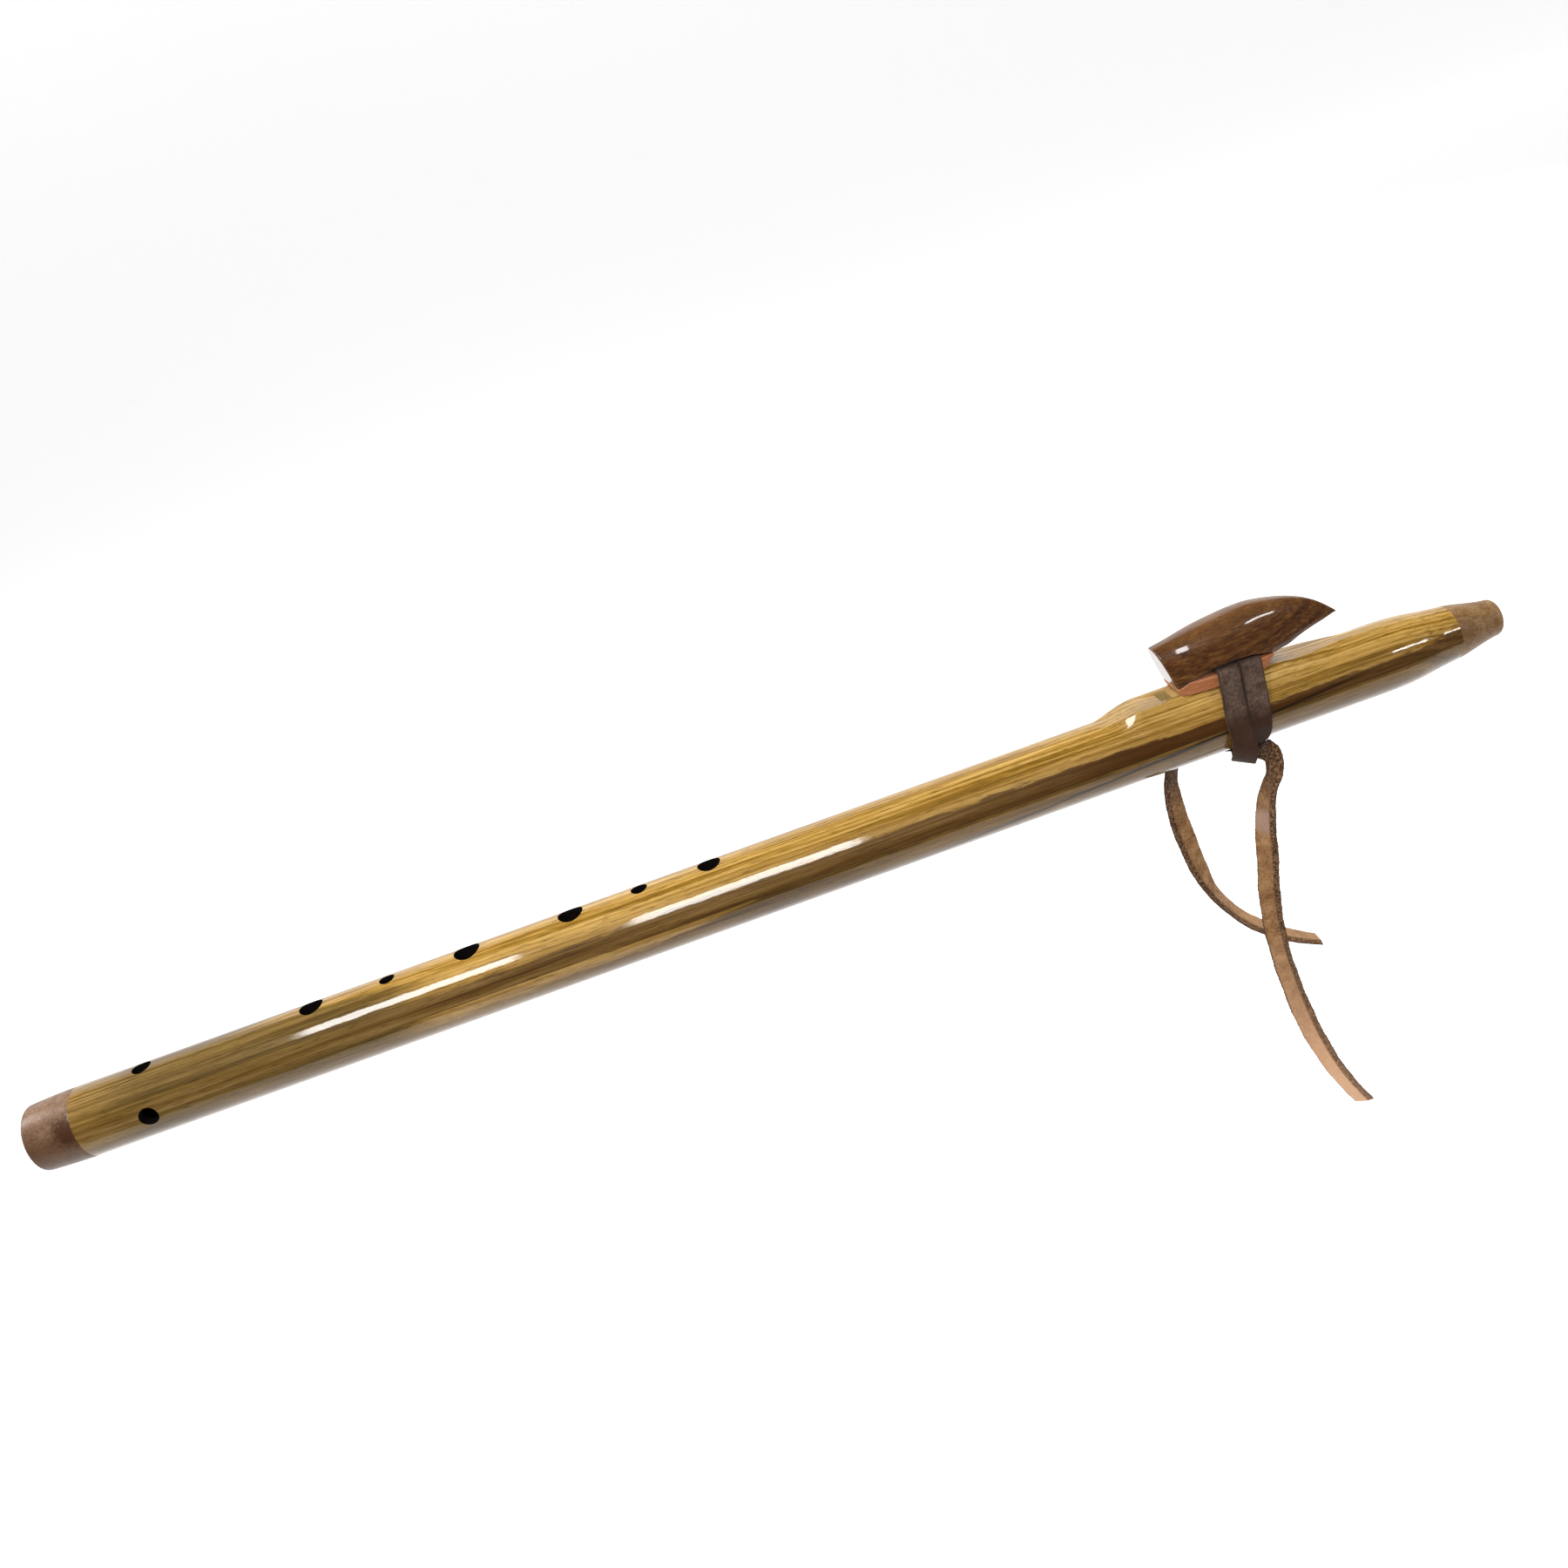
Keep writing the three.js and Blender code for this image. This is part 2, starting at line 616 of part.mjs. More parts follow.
const tube = wholeTube();
const flute = new THREE.Group();
flute.position.z = tubeRadius;
flute.add(mesh('body_upper_half', tubeHalf(tube, 1), upperWood, polished));
flute.add(mesh('body_lower_half', tubeHalf(tube, -1), lowerWood, polished));
flute.add(mesh('foot_ring', footRing(), footWalnut, buffed));
flute.add(mesh('mouthpiece', mouthpiece(), mouthWalnut, buffed));
flute.add(mesh('block', block(), blockWalnut, polished));
flute.add(mesh('block_base', blockBase(), baseWood, buffed));
flute.add(mesh('lace_winding', laceWinding(), grainLeather, leathery));
flute.add(mesh('lace_knot', laceKnot(), grainLeather, leathery));

const nearTail = mesh('lace_tail_near', laceTail(nearTailRoute, 0), suede, leathery);
const farTail = mesh('lace_tail_far', laceTail(farTailRoute, Math.PI / 2 + knotLean), suede, leathery);
placeTails(nearTail, farTail);
flute.add(nearTail, farTail);

const part = new THREE.Group();
part.add(flute);
export default part;
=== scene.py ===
"""Native American flute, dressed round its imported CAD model.

Shapes are worked out in millimetres round the tube's axis, with x towards the mouth, z up through
the finger holes and y away from the near side. place() puts them in the frame, in metres.
"""

import math

import bpy
import numpy as np
from bpy.props import FloatProperty, FloatVectorProperty, PointerProperty
from mathutils import Matrix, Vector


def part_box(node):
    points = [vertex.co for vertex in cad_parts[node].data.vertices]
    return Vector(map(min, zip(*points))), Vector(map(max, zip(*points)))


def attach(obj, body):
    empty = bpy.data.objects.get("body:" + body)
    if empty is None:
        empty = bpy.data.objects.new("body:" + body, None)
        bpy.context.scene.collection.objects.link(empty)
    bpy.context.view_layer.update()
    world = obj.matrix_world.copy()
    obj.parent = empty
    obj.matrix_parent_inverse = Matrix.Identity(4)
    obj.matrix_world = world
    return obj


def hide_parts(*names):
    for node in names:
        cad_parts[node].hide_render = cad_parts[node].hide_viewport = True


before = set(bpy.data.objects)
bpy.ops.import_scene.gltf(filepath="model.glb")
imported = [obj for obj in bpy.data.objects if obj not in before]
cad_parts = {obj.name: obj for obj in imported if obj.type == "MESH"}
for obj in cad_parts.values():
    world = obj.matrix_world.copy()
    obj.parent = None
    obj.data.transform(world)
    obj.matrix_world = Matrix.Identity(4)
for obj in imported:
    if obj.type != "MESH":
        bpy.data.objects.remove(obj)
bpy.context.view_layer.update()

bl_info = {
    "name": "Native American Flute",
    "version": (1, 0, 0),
    "blender": (4, 5, 0),
    "location": "3D View > Sidebar > Flute",
    "description": "Builds the looks of a two-chamber wooden flute with a laced block",
    "category": "Add Mesh",
}

MM = 0.001  # the frame is in metres
LOWER_BOX, FOOT_BOX, MOUTH_BOX = (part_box(node) for node in ("body_lower_half", "foot_ring", "mouthpiece"))

# Places along the tube, from the origin, in mm
FOOT_X = FOOT_BOX[0][0] / MM
RING_X = FOOT_BOX[1][0] / MM
JOINT_X = MOUTH_BOX[0][0] / MM
MOUTH_END_X = MOUTH_BOX[1][0] / MM
EDGE_X = 179.0  # splitting edge
SOUND_HOLE_END_X = 184.2
FRONT_X = 186.8  # foot of the block's front
BORE_END_X = 188.5
CHAMBER_X = 200.0
EXIT_X = 203.0
EXIT_END_X = 210.0
CHAMBER_END_X = 294.0
THROAT_END_X = 306.0
TAPER_X = 272.0

# Bores, in mm
BORE_ROUNDING = 3.0
CHAMBER_RADIUS = 9.5
BREATH_RADIUS = 4.0
EXIT_HALF = 4.5
FLUE_DEPTH = 1.0
EDGE_RAMP = 7.5
EDGE_DROP = 0.9
OVERRUN = 4.0  # how far every cutter runs past the wood

# What counts as skin or voicing on the cut halves
SKIN_DEPTH = 0.35
SKIN_LEAN = 0.8  # least cosine between a face and the skin
VOICED_Z = 4.0
VOICED_MARGIN = 1.0

# Turned ends, in mm, with the taper and the mouthpiece's side as shares of length and of radius lost
FOOT_SIDE = ((0.0, 15.1), (0.5, 15.7), (1.0, 16.0))
FOOT_RIM = 1.3
FOOT_LIP = 0.6
MOUTH_RADIUS = 8.5
MOUTH_RIM = 2.8
MOUTH_LIP = 0.8
JOINT_CHAMFER = 0.06
JOINT_RUN = 0.2
TUBE_STEPS = (88, 46, 26, 46, 30)  # places up to the nest, on its ramp, level and fade, and beyond
ROUND_STEPS = (14, 7, 16, 12, 40)  # places from the top round to the bottom
TAPER_SHARES = [[0, 0], [0.25, 0.03], [0.475, 0.18], [0.65, 0.45], [0.8, 0.72], [1, 1]]
MOUTH_SHARES = [[0, 0], [0.2, 0.2], [0.45, 0.53], [0.7, 0.85], [0.86, 1]]

# Holes: place along the tube and radius, in mm
FINGER_HOLES = (
    (-30.945, 5.3), (-63.386, 3.8), (-95.3, 5.8), (-143.303, 6.0), (-180.228, 3.5), (-215.306, 5.4),
)
DIRECTION_HOLE = (-293.64, 4.3)
DIRECTION_COUNT = 4

# Nest, the raised flat that carries the block, in mm
NEST_START_X = 148.0
NEST_LEVEL_X = 170.0
NEST_END_X = 230.0
NEST_FADE = 45.0
NEST_RISE = 2.4
NEST_HALF = 8.3
NEST_SINK = 0.4
NEST_EDGE = 0.7
LEAST_COSINE = 0.2  # keeps the nest's straight lines short where they no longer count
NEST_FADE_SHARES = [
    [0, 1, 1], [0.09, 0.82, 1], [0.22, 0.48, 0.93], [0.44, 0.33, 0.76],
    [0.6, 0.2, 0.58], [0.8, 0.03, 0.35], [1, -0.167, 0.4],
]

# Block and base, with widths, tops and undersides as shares along the block
BLOCK_SHARES = [
    [-0.14, 0.68, 0.78, 0.1], [0, 0.76, 0.838, 0.1], [0.1, 0.89, 0.887, 0.1],
    [0.2, 0.975, 0.934, 0.1], [0.3, 1, 0.966, 0.1], [0.4, 0.97, 0.993, 0.1],
    [0.5, 0.885, 1, 0.1], [0.58, 0.79, 0.971, 0.195], [0.66, 0.675, 0.925, 0.215],
    [0.74, 0.54, 0.862, 0.27], [0.82, 0.395, 0.768, 0.305], [0.89, 0.265, 0.65, 0.325],
    [0.95, 0.14, 0.51, 0.342], [1, 0.02, 0.375, 0.357],
]
BELLY_SHARE = 0.18  # height of the block's widest line
BELLY_TUCK = 0.1  # how far the sides draw in below it
CROWN_POWER = 3.0
FLANK_POWER = 2.5
BLOCK_EDGE = 0.55
BLOCK_FRONT_EDGE = 0.9
BASE_LENGTH = 43.2
BASE_THICKNESS = 5.6
BASE_REAR_SLOPE = 6.0
BASE_EDGE = 0.4
GLUE_GAP = 0.3
ARCH_RADIUS = 54.0
ARCH_X = 210.13
ARCH_APEX = 27.81

# Lace
LACE_GAP = 0.3
LOW_STEPS = 100  # places along each turn from the near facet round underneath
LACE_MIDDLE_X = 222.7
LACE_PITCH = 10.2
LACE_TURNS = 2
KNOT_TURN = math.radians(38)  # up the far side from straight below
LOW_SHARE = 1.055  # width of the turns where they close up below the axis
HIGH_SHARE = 1.022
WINDING_STEP, STRAND_STEP, TAIL_STEP = 0.35, 0.4, 0.27  # mm between sections of the lace
CUT_SHARE = 0.96  # of the half width, past which the surface is the cut edge
WINDING_WAVER = 0.08  # how far the lace's cut edges wander
TAIL_WAVER = 0.13
WANDER_WAVES = ((23.0, 1.0), (9.1, 0.5), (4.3, 0.4), (2.1, 0.5), (1.27, 0.6), (0.83, 0.5))

# Slack of the last turn, which hangs off the tube underneath, leans, and strays over its neighbour
# on the way and further on the way back: how far, in mm, and where it begins, is full, still is
# and ends, in degrees round from the top
SLACK_OUT, SLACK_HANG = 6.0, (78, 140, 146, 168)
SLACK_ALONG, SLACK_STRAY = 1.3, (64, 136, 157, 212)
SLACK_BACK, SLACK_RETURN = 4.5, (140, 164, 172, 212)
SLACK_TILT = math.radians(32)

# Knot: each strand's places and the way it faces, in mm, drawn straight below the tube
LOWER_STRAND = [
    (202.3, 4.6, -16.95, 0, 0, -1), (202.3, 6.2, -16.95, 0, 0.2, -1), (202.3, 7.4, -17.4, 0, 0.9, -0.4),
    (202.3, 7.85, -18.5, 0, 1, 0), (202.4, 7.4, -19.6, 0, 0.9, 0.4), (202.6, 6.2, -20.1, 0, 0.2, 1),
    (205.0, 3.8, -20.2, 0, 0, 1), (210.6, -0.5, -20.2, 0, 0, 1), (215.4, -4.8, -20.0, 0, 0, 1),
    (218.0, -7.4, -19.1, 0, 0, 1), (218.7, -8.8, -18.6, 0, 0, 1),
]
UPPER_STRAND = [
    (222.7, -4.6, -16.95, 0, 0, -1), (222.7, -6.2, -16.95, 0, -0.2, -1), (222.7, -7.03, -17.3, 0, -0.9, -0.4),
    (222.6, -7.1, -17.8, 0, -1, 0), (222.5, -6.9, -18.3, 0, -0.9, 0.4), (222.2, -6.0, -18.6, 0, -0.2, 1),
    (219.2, -3.9, -18.65, 0, 0, 1), (212.2, -0.7, -18.7, 0, 0, 1), (205.2, 0.9, -18.9, 0, 0, 1),
    (200.2, 1.0, -19.25, 0, 0, 1), (197.2, 1.0, -19.4, 0, 0, 1),
]

# Free tails: where each leaves the knot, in metres, its route from there, in tenths of a millimetre,
# and how far each place is turned away from the near side, in degrees
ROUTE_UNIT = 0.0001
NEAR_EXIT = (0.2187, 0.004517, -0.004075)
FAR_EXIT = (0.1972, 0.012732, 0.001328)
NEAR_ROUTE = [
    (0, 0, 0), (0, -17, -13), (0, -51, -18), (1, -89, -11), (4, -129, -2), (7, -163, -8),
    (3, -185, -39), (-11, -193, -87), (-35, -187, -139), (-54, -173, -204), (-68, -159, -284),
    (-79, -148, -374), (-87, -142, -479), (-100, -138, -594), (-113, -135, -709),
    (-119, -131, -839), (-118, -129, -974), (-109, -129, -1109), (-93, -129, -1244),
    (-71, -129, -1389), (-41, -129, -1539), (-1, -129, -1689), (47, -129, -1833),
    (103, -129, -1965), (159, -129, -2078),
]
FAR_ROUTE = [
    (0, 0, 0), (-32, 1, -2), (-70, 5, -17), (-108, 12, -49), (-138, 19, -99), (-158, 25, -165),
    (-164, 30, -243), (-162, 33, -333), (-152, 33, -443), (-136, 33, -560), (-113, 33, -680),
    (-80, 33, -800), (-26, 33, -913), (42, 33, -1016), (126, 33, -1106), (222, 33, -1186),
    (328, 33, -1256), (394, 33, -1292),
]
NEAR_TWIST = [0, 4, 16, 34, 50, 58, 62, 65, 66, 62, 53, 42, 33, 26, 20, 14, 8, 4, 6, 15, 30, 42, 50, 55, 58]
FAR_TWIST = [22, 20, 8, -18, -44, -40, -28, -14, -7, -8, -20, -38, -47, -46, -46, -50, -56, -60]
NEAR_SIDE = (0.0, -0.87, 0.49)  # the way that an untwisted tail faces
SLANT_START = 0.42  # where the slanted cut begins, as a share of the half width
SLANT_DROP = 0.9  # mm of thickness that the slant takes away
PALE_PLACE = (211.5, -11.4, -53.0)  # mm from the axis

# Limba: its layers' lean towards the near side, and from where to where its colour changes, in mm
# along the tube or of height
GRAIN_TILT = math.radians(55)
WARM_EDGE = (-5.0, 3.0)  # from above the dark heart's edge to below it
HEART_EDGE = (2.5, 3.5)
HEART_SPAN = 20.0  # the heart's heights are shares of this, from half of it below the axis
OLIVE_RUN = (-222.0, -258.0)
OLIVE_END = (-325.0, -295.0)
OLIVE_STOPS = [(0.38, "#46340c"), (0.5, "#624a1a"), (0.64, "#7c6230")]
STREAK_RISE, STREAK_DROP = 0.07, 15.2  # a dark line low on the tube, and how it climbs
STREAK_EDGE = (0.3, 1.0)
STREAK_END = (250.0, 280.0)
GLUE_EDGE = (0.12, 0.42)
GLUE_SHOWN = (-90.0, -30.0)
HOLE_SHADE_HEIGHTS = (16.9, 17.2)  # painted shade: the cut wood is greyer below these heights, down in the holes
CROWN_SHEEN_HEIGHTS = (37.0, 45.0)  # painted sheen: the block's colour is lighter above these heights

# Leather: from where to where it changes, in mm from the pale place, or along a tail; near the knot the flesh
# side takes painted shade
PALE_REACH = (4.5, 8.0)
SLANT_RUN = (60.0, 170.0)
KNOT_SHADE_RUN = (28.0, 48.0)

RELIEF = 0.1  # mm, of the flecks in the wood and of the lacquer's ripple
TINY = 0.01  # mm, in place of nought

# Camera: where it stands, in metres, and how it is turned, in degrees
CAMERA_PLACE = (0.00641, -0.54353, 0.29122)
CAMERA_TURNS = (0.565, -23.442, -19.486)
CAMERA_LENS = 31.546
CAMERA_SENSOR = 36.0

# Lamps: place and the point they face, in metres, size in metres, share of the brightness, and
# whether the gloss mirrors them. The windows and the right lamp draw the streaks.
LAMPS = {
    "left_window": ((-0.50, -0.62, 0.95), (-0.16, 0.0, 0.02), (0.27, 0.36), 1.3, True),
    "front_window": ((-0.065, -0.95, 0.72), (-0.02, 0.0, 0.02), (0.31, 0.43), 1.2, True),
    "right_lamp": ((0.917, -0.829, 0.457), (0.25, 0.0, 0.02), (0.34, 0.1), 1.4, True),
    "left_side": ((-1.75, 0.25, 1.35), (0.0, 0.0, 0.02), (0.8, 0.8), 0.8, True),
    "right_side": ((1.7, 0.95, 1.3), (0.0, 0.0, 0.02), (0.8, 0.8), 1.1, False),
    "ceiling": ((0.0, 0.3, 2.0), (0.0, 0.0, 0.0), (2.4, 1.8), 0.02, False),
}

# Paper, in metres: it lies level to its bend and rises behind
PAPER_NEAR_EDGE = -0.28  # the camera sees the paper from 4 cm further on
PAPER_HALF_WIDTH = 8.0
PAPER_BEND_Y = 4.0
PAPER_BEND = 2.0
PAPER_RISE = 7.0
PAPER_GLOW = (-0.3, 0.3, 0.0, 0.74)  # from where to where it grows, and its strength there


def place(points):
    """Millimetres round the tube's axis as metres in the frame."""
    return (np.asarray(points, float) + [0, 0, tube().radius / MM]) * MM


def tube():
    """The tube's sizes, as they stand in the sidebar."""
    return bpy.context.scene.flute_tube


def lacing():
    """The lace's sizes, as they stand in the sidebar."""
    return bpy.context.scene.flute_lace


def smoothstep(t):
    """From nought to one with level ends: three times the square less twice the cube."""
    t = np.clip(t, 0, 1)
    return t * t * (3 - 2 * t)


def through(points, samples):
    """An even Catmull-Rom curve: a cubic between each two points, whose slope at a point is half
    the step from the point before it to the point after it."""
    p = np.asarray(points, float)
    padded = np.vstack([p[:1], p, p[-1:]])
    at = np.linspace(0, len(p) - 1, samples)
    i = np.minimum(at.astype(int), len(p) - 2)
    t = (at - i)[:, None]
    a, b, c, d = (padded[i + k] for k in range(4))
    bend = 2 * a - 5 * b + 4 * c - d
    return 0.5 * (2 * b + (c - a) * t + bend * t**2 + (3 * b - a - 3 * c + d) * t**3)


def shares_at(table, at, column=1):
    """A column of a table of shares, read along its first column on the curve through its rows."""
    curve = through(table, 600)
    return np.interp(at, curve[:, 0], curve[:, column])


def swell(at, begins, full, still, ends):
    """A smooth rise from nought to one, a level stretch and a smooth fall."""
    return smoothstep((at - begins) / (full - begins)) * smoothstep((ends - at) / (ends - still))


def unit(vectors):
    """Vectors brought to a length of one."""
    return vectors / np.linalg.norm(vectors, axis=-1, keepdims=True)


def distances(points):
    """How far along a polyline each of its points lies."""
    return np.concatenate([[0], np.cumsum(np.linalg.norm(np.diff(points, axis=0), axis=1))])


def evenly(points, step):
    """The points of a polyline taken again at even steps along it."""
    run = distances(points[:, :3])
    at = np.linspace(0, run[-1], max(2, round(run[-1] / step) + 1))
    return np.stack([np.interp(at, run, column) for column in points.T], 1)


def put(name, data):
    """A mesh, a camera or a lamp as an object in the scene."""
    made = bpy.data.objects.new(name, data)
    bpy.context.scene.collection.objects.link(made)
    return made


def grid(rows, columns, onward=False):
    """Corner numbers of the four-sided faces of a grid that closes on itself along its columns,
    and with onward along its rows too."""
    i = np.arange(rows if onward else rows - 1)[:, None]
    j = np.arange(columns)[None, :]
    after, beside = (i + 1) % rows, (j + 1) % columns
    corners = [i * columns + j, i * columns + beside, after * columns + beside, after * columns + j]
    return np.stack(corners, -1).reshape(-1, 4)


def solid(name, rings, onward=False):
    """A closed mesh over an array of rings, each with the same number of points. Its ends are
    fans to their middles, unless the rings run on from the last to the first."""
    rows, columns = rings.shape[:2]
    points = rings.reshape(-1, 3)
    quads = grid(rows, columns, onward)
    fans = np.zeros((0, 3), int)
    if not onward:
        points = np.vstack([points, rings[0].mean(0), rings[-1].mean(0)])
        j = np.arange(columns)
        last = (rows - 1) * columns
        start = np.stack([np.full(columns, rows * columns), (j + 1) % columns, j], 1)
        end = np.stack([np.full(columns, rows * columns + 1), last + j, last + (j + 1) % columns], 1)
        fans = np.vstack([start, end])
    thirds = np.vstack([quads[:, [0, 1, 2]], quads[:, [0, 2, 3]], fans])
    a, b, c = (points[thirds[:, k]] for k in range(3))
    if np.einsum("ij,ij->i", a, np.cross(b, c)).sum() < 0:
        quads, fans = quads[:, ::-1], fans[:, ::-1]
    mesh = bpy.data.meshes.new(name)
    mesh.from_pydata(points.tolist(), [], quads.tolist() + fans.tolist())
    mesh.update()
    return put(name, mesh)


def soften(piece, degrees):
    """Smooth shading, with edges sharper than so many degrees kept sharp."""
    piece.data.shade_smooth()
    piece.data.set_sharp_from_angle(angle=math.radians(degrees))
    return piece


def points_of(mesh):
    """A mesh's points as rows of an array."""
    points = np.zeros(len(mesh.vertices) * 3)
    mesh.vertices.foreach_get("co", points)
    return points.reshape(-1, 3)


def settle(piece):
    """Moves a piece worked out round the axis into the frame."""
    piece.data.vertices.foreach_set("co", place(points_of(piece.data)).ravel())
    piece.data.update()
    return piece


def finish(piece, body, node, slot, *materials):
    """Gives a piece its materials and the body it moves with, and hides the solid it stands for. The slot is
    not used.
    """
    for material in materials:
        piece.data.materials.append(material)
    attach(piece, body)
    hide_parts(node)
    return piece


def revolved(profile, count=192):
    """A closed profile of x and radius, carried round the tube's axis."""
    turn = np.linspace(0, 2 * math.pi, count, endpoint=False)
    x, radius = np.asarray(profile, float).T
    y = radius[:, None] * np.sin(turn)
    z = radius[:, None] * np.cos(turn)
    return np.stack([np.broadcast_to(x[:, None], y.shape), y, z], -1)


def quarter(x, radius, size, start):
    """A quarter of a circle round a centre in a profile, from a direction in degrees."""
    turn = np.radians(start + np.linspace(0, 90, 9))
    return np.stack([x + size * np.cos(turn), radius + size * np.sin(turn)], 1)


def nest_top():
    """Height of the nest's level flat above the axis, in mm."""
    return tube().radius / MM + NEST_RISE


def nest_section(x):
    """Height and half-width of the flat at places along the tube: a smooth ramp up, the level, and
    a fade that follows its table."""
    radius = tube().radius / MM
    low = radius - NEST_SINK
    rise = smoothstep((x - NEST_START_X) / (NEST_LEVEL_X - NEST_START_X))
    height = low + (nest_top() - low) * rise
    half = NEST_HALF * (NEST_SINK + (1 - NEST_SINK) * np.sqrt(rise))
    fade = (x - NEST_END_X) / NEST_FADE
    height = np.where(fade > 0, radius + NEST_RISE * shares_at(NEST_FADE_SHARES, fade, 1), height)
    half = np.where(fade > 0, NEST_HALF * shares_at(NEST_FADE_SHARES, fade, 2), half)
    return height, half


def nest_turns(x):
    """Where the section changes, as turns from the top: the end of the flat, the end of its rounded
    edge, and the place where the facet runs into the round tube. Also the edge's middle."""
    radius = tube().radius / MM
    height, half = nest_section(x)
    reach = np.hypot(height, half)
    proud = reach > radius
    facet = np.arctan2(half, height) + np.arccos(radius / np.maximum(reach, radius))
    middle = (radius - NEST_EDGE - np.cos(facet) * (height - NEST_EDGE)) / np.sin(facet)
    flat_end = np.arctan2(middle, height)
    edge_y = middle + NEST_EDGE * np.sin(facet)
    edge_z = height - NEST_EDGE + NEST_EDGE * np.cos(facet)
    return height, middle, flat_end, np.arctan2(edge_y, edge_z), facet, proud


def skin(x, turn):
    """Distance from the axis to the outside of the tube, in mm. The round tube narrows towards the
    mouth on a curve through its table. The nest is a level line, a rounded edge and a facet that
    runs down as a tangent to the round, and the larger of the two counts. Both ends have a hair
    of a chamfer, where the turned pieces are glued on."""
    turn = np.abs(turn)
    radius = tube().radius / MM
    joint = tube().joint_radius / MM
    along = np.clip((x - TAPER_X) / (JOINT_X - TAPER_X), 0, 1)
    plain = radius + (joint - radius) * shares_at(TAPER_SHARES, along)
    height, middle, flat_end, edge_end, facet, proud = nest_turns(x)
    level = height / np.maximum(np.cos(turn), LEAST_COSINE)
    ahead = middle * np.sin(turn) + (height - NEST_EDGE) * np.cos(turn)
    aside = middle * np.cos(turn) - (height - NEST_EDGE) * np.sin(turn)
    edge = ahead + np.sqrt(np.maximum(NEST_EDGE**2 - aside**2, 0))
    side = radius / np.maximum(np.cos(facet - turn), LEAST_COSINE)
    raised = np.select([turn < flat_end, turn < edge_end, turn < facet], [level, edge, side], 0)
    raised = np.where(proud & (x < NEST_END_X + NEST_FADE), raised, 0)
    near_end = np.minimum(x - RING_X, JOINT_X - x)
    return np.maximum(plain, raised) - JOINT_CHAMFER * np.clip(1 - near_end / JOINT_RUN, 0, 1)


def skin_normal(x, turn):
    """Outward normal of the skin, from its slopes round and along the tube."""
    step_turn, step_x = 0.002, 0.04
    radius = skin(x, turn)
    round_slope = (skin(x, turn + step_turn) - skin(x, turn - step_turn)) / (2 * step_turn)
    low = np.clip(x - step_x, RING_X + JOINT_RUN, JOINT_X - JOINT_RUN - step_x)
    high = np.clip(x + step_x, low + step_x, JOINT_X - JOINT_RUN)
    along_slope = (skin(high, turn) - skin(low, turn)) / (high - low)
    sin, cos = np.sin(turn), np.cos(turn)
    y = -radius * sin + round_slope * cos
    z = radius * cos + round_slope * sin
    return unit(np.stack([-radius * along_slope, y, z], -1))


def tube_rings():
    """Rings of the tube's skin. The columns follow the edges of the nest where it stands proud, and
    keep to its level section's turns elsewhere."""
    ends = [RING_X + 2 * JOINT_RUN, NEST_START_X, NEST_LEVEL_X, NEST_END_X]
    ends += [NEST_END_X + NEST_FADE, JOINT_X - JOINT_RUN]
    spans = [np.linspace(a, b, count)[1:] for a, b, count in zip(ends, ends[1:], TUBE_STEPS)]
    along = np.concatenate([[RING_X, RING_X + JOINT_RUN, ends[0]], *spans, [JOINT_X]])
    radius = tube().radius / MM
    height, half = nest_section(along)
    full = np.hypot(NEST_RISE + radius, NEST_HALF) - radius
    weight = smoothstep((np.hypot(height, half) - radius) / full * 3)  # one from a third of the rise
    here = nest_turns(along)[2:5]
    level = nest_turns(np.full_like(along, (NEST_LEVEL_X + NEST_END_X) / 2))[2:5]
    stops = [np.zeros_like(along)] + [b + (a - b) * weight for a, b in zip(here, level)]
    stops += [np.full_like(along, math.pi / 2), np.full_like(along, math.pi)]
    side = [
        a[:, None] + (b - a)[:, None] * np.arange(count) / count
        for a, b, count in zip(stops, stops[1:], ROUND_STEPS)
    ]
    half_turn = np.concatenate(side + [stops[-1][:, None]], 1)
    turn = np.concatenate([half_turn, -half_turn[:, -2:0:-1]], 1)
    x = np.broadcast_to(along[:, None], turn.shape)
    radius = skin(x, turn)
    return np.stack([x, -radius * np.sin(turn), radius * np.cos(turn)], -1)


def drill(name, x, radius, turn, depth, count=72):
    """A round cutter, carried straight out from the axis."""
    around = np.linspace(0, 2 * math.pi, count, endpoint=False)
    along, beside = x + radius * np.cos(around), radius * np.sin(around)
    out = np.array([[0.0], [depth]])
    y = beside * math.cos(turn) - out * math.sin(turn)
    z = beside * math.sin(turn) + out * math.cos(turn)
    return solid(name, np.stack([np.broadcast_to(along, y.shape), y, z], -1))


def prism(name, outline, half_width):
    """A cutter drawn in x and z and carried across the tube."""
    outline = np.asarray(outline, float)
    rings = [
        np.stack([outline[:, 0], np.full(len(outline), side), outline[:, 1]], 1)
        for side in (-half_width, half_width)
    ]
    return solid(name, np.array(rings))


def slot(name, x0, x1, low, high, half_width):
    """A cutter shaped like a box, between two places along the tube and two heights."""
    return prism(name, [[x0, low], [x1, low], [x1, high], [x0, high]], half_width)


